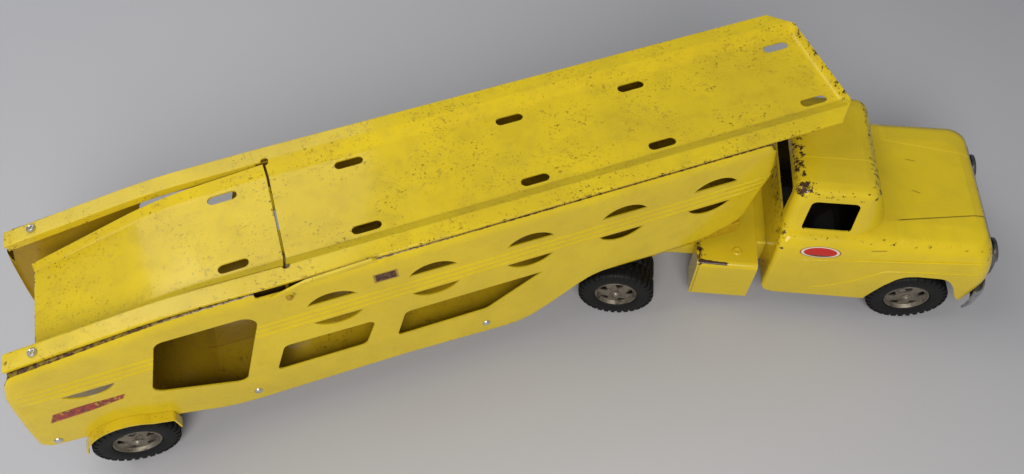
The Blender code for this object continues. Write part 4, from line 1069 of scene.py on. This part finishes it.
def make_cab():
    body, cabin = refined(BODY), refined(CABIN)
    mesh = loft("body", [[plan_ring(*row) for row in body]])
    mesh = combined(mesh, loft("cabin", [[plan_ring(*row) for row in cabin]]), "UNION")
    hollow = [plan_ring(8.0, *BODY[0][1:], SHEET)]
    hollow += [plan_ring(row[0] - (SHEET if row[0] > 88 else 0.0), *row[1:], SHEET)
               for row in body]
    mesh = combined(mesh, loft("hollow", [hollow]))
    hollow = [plan_ring(88.0, *CABIN[0][1:], SHEET)]
    hollow += [plan_ring(row[0] - (SHEET if row[0] > 120 else 0.0), *row[1:], SHEET)
               for row in cabin[1:]]
    mesh = combined(mesh, loft("hollow", [hollow]))
    side_window = rounded([(98.0, 98.5, 3.0), (132.5, 98.5, 3.0), (132.5, 125.5, 4.0),
                           (99.5, 125.5, 4.0)])
    rear_window = rounded([(-38.0, 99.0, 4.0), (38.0, 99.0, 4.0), (37.0, 125.0, 4.0),
                           (-37.0, 125.0, 4.0)])
    windshield = rounded([(-35.0, 103.5, 3.0), (35.0, 103.5, 3.0), (38.0, 127.0, 5.0),
                          (-38.0, 127.0, 5.0)])
    tunnel = [(-39.0, 10.0), (39.0, 10.0), (39.0, 58.0), (-39.0, 58.0)]
    mesh = combined(mesh, loft("windows", [prism(side_window, "Y", -70, 70)]))
    mesh = combined(mesh, loft("windows", [prism(rear_window, "X", 80, 96),
                                           prism(windshield, "X", 142.5, 175),
                                           prism(tunnel, "X", 80, 96)]))
    arch = [(163.5, 10.0, 1), (164.0, 27.0, 2), (166.5, 35.0, 20), (171.5, 48.0, 20),
            (177.5, 58.0, 12), (183.0, 62.3, 12), (191.0, 63.6, 20), (208.0, 63.2, 12),
            (214.5, 60.8, 12), (220.5, 52.5, 12), (226.0, 41.0, 12), (231.0, 34.0, 12),
            (236.0, 32.0, 12), (250.0, 31.0, 1), (250.0, 10.0, 1)]
    mesh = combined(mesh, loft("arches", [prism(rounded(arch, 4), "Y", -70, 70)]))
    corner = [(70.0, 10.0), (90.0, 10.0)] + arc((93.5, 36.0), 9.0, 270, 180, 8) + [(70.0, 36.0)]
    mesh = combined(mesh, loft("corner", [prism(corner, "Y", -70, 70)]))
    # Inner faces get a near black paint as painted shade.
    add("cab_pressing", mesh, TRACTOR, "tractor", YELLOW_CAB, ["cab_shell"], 30.0,
        (CAB_INSIDE_SHADE, in_cab))
    for side, sign in SIDES:
        y = sign * 62.1
        upper = [(100.0, y, 74.2), (134.0, y, 77.6), (168.0, y, 80.6), (200.0, y * 0.995, 83.0),
                 (227.0, y * 0.985, 84.6)]
        lower = [(118.0, y, 36.0), (132.0, y, 42.0), (147.0, y, 50.5), (157.0, y, 59.5),
                 (166.0, y, 67.2), (180.0, y, 69.0), (204.0, y, 70.2), (229.0, y * 0.995, 71.4)]
        beads = [tube("bead", upper, 0.9), tube("bead", lower, 1.0)]
        add("side_beads_" + side, joined("beads", beads), TRACTOR, "tractor", YELLOW_CAB, (), 60.0)


def make_tanks():
    line = softened(mirrored([(60.7, 13.5), (61.7, 58.3)]), 4.5, 6)
    rings = [[(x, y, z) for y, z in sheet_outline(line, SHEET)] for x in (32.0, 77.0)]
    parts = [loft("tanks", [rings])]
    for sign in (-1, 1):
        plate = rounded([(sign * 39.0, 14.0, 0.5), (sign * 60.3, 14.0, 0.5),
                         (sign * 61.0, 57.6, 4.4), (sign * 39.0, 57.6, 0.5)])
        for low, high in ((32.3, 33.5), (75.5, 76.7)):
            parts.append(loft("plate", [prism(plate, "X", low, high)]))
    add("tank_sheet", joined("tanks", parts), TRACTOR, "tractor", YELLOW_TANK, ["saddle_tanks"])
    dimple = [(0.0, 0.5), (1.2, 0.5), (1.9, 0.9), (2.9, 0.9), (3.7, 0.1), (3.7, -0.4), (0.0, -0.4)]
    for side, sign in SIDES:
        place = TRACTOR @ Matrix.Translation(Vector((62.0, sign * 48.0, 58.3)) * MM)
        add("tank_dimple_" + side, turned("dimple", dimple, 24, False), place, "tractor",
            YELLOW_TANK)


def make_front():
    path = softened([(236.8, -65.1), (243.4, -61.6), (246.8, -53.5), (247.8, -40.0),
                     (248.2, 0.0), (247.8, 40.0), (246.8, 53.5), (243.4, 61.6), (236.8, 65.1)],
                    20.0, 4)
    face = rounded([(-2.2, 28.5, 0.5), (-0.6, 27.3, 0.8), (0.9, 32.0, 3.0), (0.9, 47.0, 3.0),
                    (-0.6, 51.8, 0.8), (-2.2, 50.8, 0.5), (-1.2, 46.0, 2.0), (-1.2, 33.0, 2.0)],
                   3)
    rings = []
    for i, point in enumerate(path):
        along = Vector(path[min(i + 1, len(path) - 1)]) - Vector(path[max(i - 1, 0)])
        along.normalize()
        out = Vector((along.y, -along.x))
        rings.append([(point[0] + out.x * d, point[1] + out.y * d, z) for d, z in face])
    add("bumper_bar", loft("bumper", [rings]), TRACTOR, "tractor", CHROME, ["front_bumper"], 40.0)
    outline = [(238.0, 83.4), (240.4, 81.0), (242.8, 75.6), (244.8, 68.0), (246.2, 60.5),
               (245.8, 55.0), (242.3, 55.0), (242.2, 62.3), (240.0, 74.2), (238.0, 80.4),
               (237.0, 83.0)]
    smooth = rounded([(x, z, 6.0 if i in (1, 2, 3, 4) else 0.6)
                      for i, (x, z) in enumerate(outline)], 3)
    mesh = loft("grille", [prism(smooth, "Y", -51.0, 51.0)])
    grooves = [box(face - 2.0, 260.0, -26.0, 26.0, z - 1.4, z + 1.4)
               for z, face in ((61.0, 246.1), (66.8, 245.1), (72.6, 243.8), (78.0, 241.8))]
    mesh = combined(mesh, loft("grooves", grooves))
    add("grille_plate", mesh, TRACTOR, "tractor", GRILLE_METAL, ["grille"])
    lens = [(0.0, 3.6), (2.4, 3.5), (4.6, 3.1), (6.4, 2.6), (7.5, 2.0), (7.5, 0.0), (0.0, 0.0)]
    bezel = [(7.4, 1.9), (7.7, 2.6), (8.2, 2.9), (9.0, 2.7), (9.5, 1.7), (9.6, 0.0), (7.4, 0.0)]
    for side, sign in SIDES:
        place = (TRACTOR @ Matrix.Translation(Vector((243.8, sign * 39.0, 71.1)) * MM)
                 @ Matrix.Rotation(math.radians(75.7), 4, "Y"))
        add("lamp_" + side, turned("lamp", lens, 48, False), place.copy(), "tractor", LAMP,
            ["headlight_" + side])
        add("bezel_" + side, turned("bezel", bezel, 48), place, "tractor", GRILLE_METAL)


def repaint(material, *names):
    """Give CAD nodes that keep their shape a finished material and crisp folds."""
    for name in names:
        node = frame["nodes"][name]
        node.data.materials.clear()
        node.data.materials.append(material)
        crisp(node, 30.0)


# ======================================================================================
# studio
# ======================================================================================
def make_studio():
    mesh = loft("floor", [box(-6000, 6000, -6000, 6000, -20, 0)])
    floor = bpy.data.objects.new("floor", mesh)
    bpy.context.scene.collection.objects.link(floor)
    s = Shader("floor_paper")
    place = s.node("ShaderNodeTexCoord").outputs["Object"]
    grain = s.node("ShaderNodeTexNoise")
    s.feed(grain.inputs["Vector"], place)
    grain.inputs["Scale"].default_value = 3.0
    s.put(Base_Color=s.mix(grain.outputs["Fac"], (0.46, 0.46, 0.48), (0.50, 0.50, 0.52)),
          Roughness=0.7)
    mesh.materials.append(s.material)
    world = bpy.data.worlds.new("studio")
    world.use_nodes = True
    background = world.node_tree.nodes["Background"]
    background.inputs["Color"].default_value = (0.88, 0.92, 1.0, 1.0)
    background.inputs["Strength"].default_value = 0.19
    bpy.context.scene.world = world
    for name, spot, size, power, tint in (
            ("key", (-0.36, -0.95, 0.98), 0.8, 13.6, (1.0, 0.965, 0.92)),
            ("top", (-0.85, 0.35, 1.40), 1.2, 6.8, (0.99, 0.985, 0.97)),
            ("fill", (-0.55, 0.95, 1.05), 1.0, 4.2, (0.97, 0.98, 1.0))):
        light = bpy.data.lights.new(name, "AREA")
        light.shape = "DISK"
        light.size = size
        light.energy = power
        light.color = tint
        lamp = bpy.data.objects.new(name, light)
        lamp.location = spot
        lamp.rotation_euler = (-Vector(spot)).to_track_quat("-Z", "Y").to_euler()
        bpy.context.scene.collection.objects.link(lamp)


def make_camera():
    data = bpy.data.cameras.new("camera")
    data.sensor_width = 36.0
    data.lens = CAMERA_LENS
    data.clip_start = 0.01
    data.clip_end = 30.0
    forward = Vector(CAMERA_AHEAD).normalized()
    level = Vector(CAMERA_LEVEL).normalized()
    above = level.cross(forward)
    roll = math.radians(CAMERA_ROLL)
    right = level * math.cos(roll) + above * math.sin(roll)
    up = above * math.cos(roll) - level * math.sin(roll)
    matrix = Matrix((right, up, -forward)).transposed().to_4x4()
    matrix.translation = ORIGIN + Vector(CAMERA_SPOT) * MM
    camera = bpy.data.objects.new("camera", data)
    camera.matrix_world = matrix
    bpy.context.scene.collection.objects.link(camera)
    bpy.context.scene.camera = camera


make_deck()
make_ramp()
make_rivets()
for name, sign in SIDES:
    make_panel(name, sign)
    make_fender(name, sign)
make_lever_pocket()
make_cab()
make_tanks()
make_front()
make_wheels("trailer", TRAILER, TRAILER_AXLE, 55.5, "trailer_wheel_", 6.4,
            [("trailer_tyre_", 0.0)], 0.0)
make_wheels("front", TRACTOR, FRONT_AXLE, 53.7, "front_wheel_", 6.4, [("front_tyre_", 0.0)], 8.0)
make_wheels("rear", TRACTOR, REAR_AXLE, 70.6, "rear_wheels_", 23.4,
            [("rear_tyre_outer_", 0.0), ("rear_tyre_inner_", 17.0)], -10.0)
repaint(YELLOW_FLOOR_SHADED, "lower_deck")
# Painted shade on the front bulkhead and on the hinge rod in the ramp's gap.
repaint(YELLOW_INSIDE_SHADED, "front_bulkhead", "ramp_hinge_rod")
repaint(YELLOW_TRAILER, "coupler_plate", "ramp_lever")
repaint(YELLOW_CHASSIS, "chassis_frame")
repaint(BARE_STEEL, "axle_carrier", "fifth_wheel")
repaint(ROD_STEEL, "kingpin")
make_studio()
make_camera()
bpy.context.scene.view_settings.view_transform = "Standard"
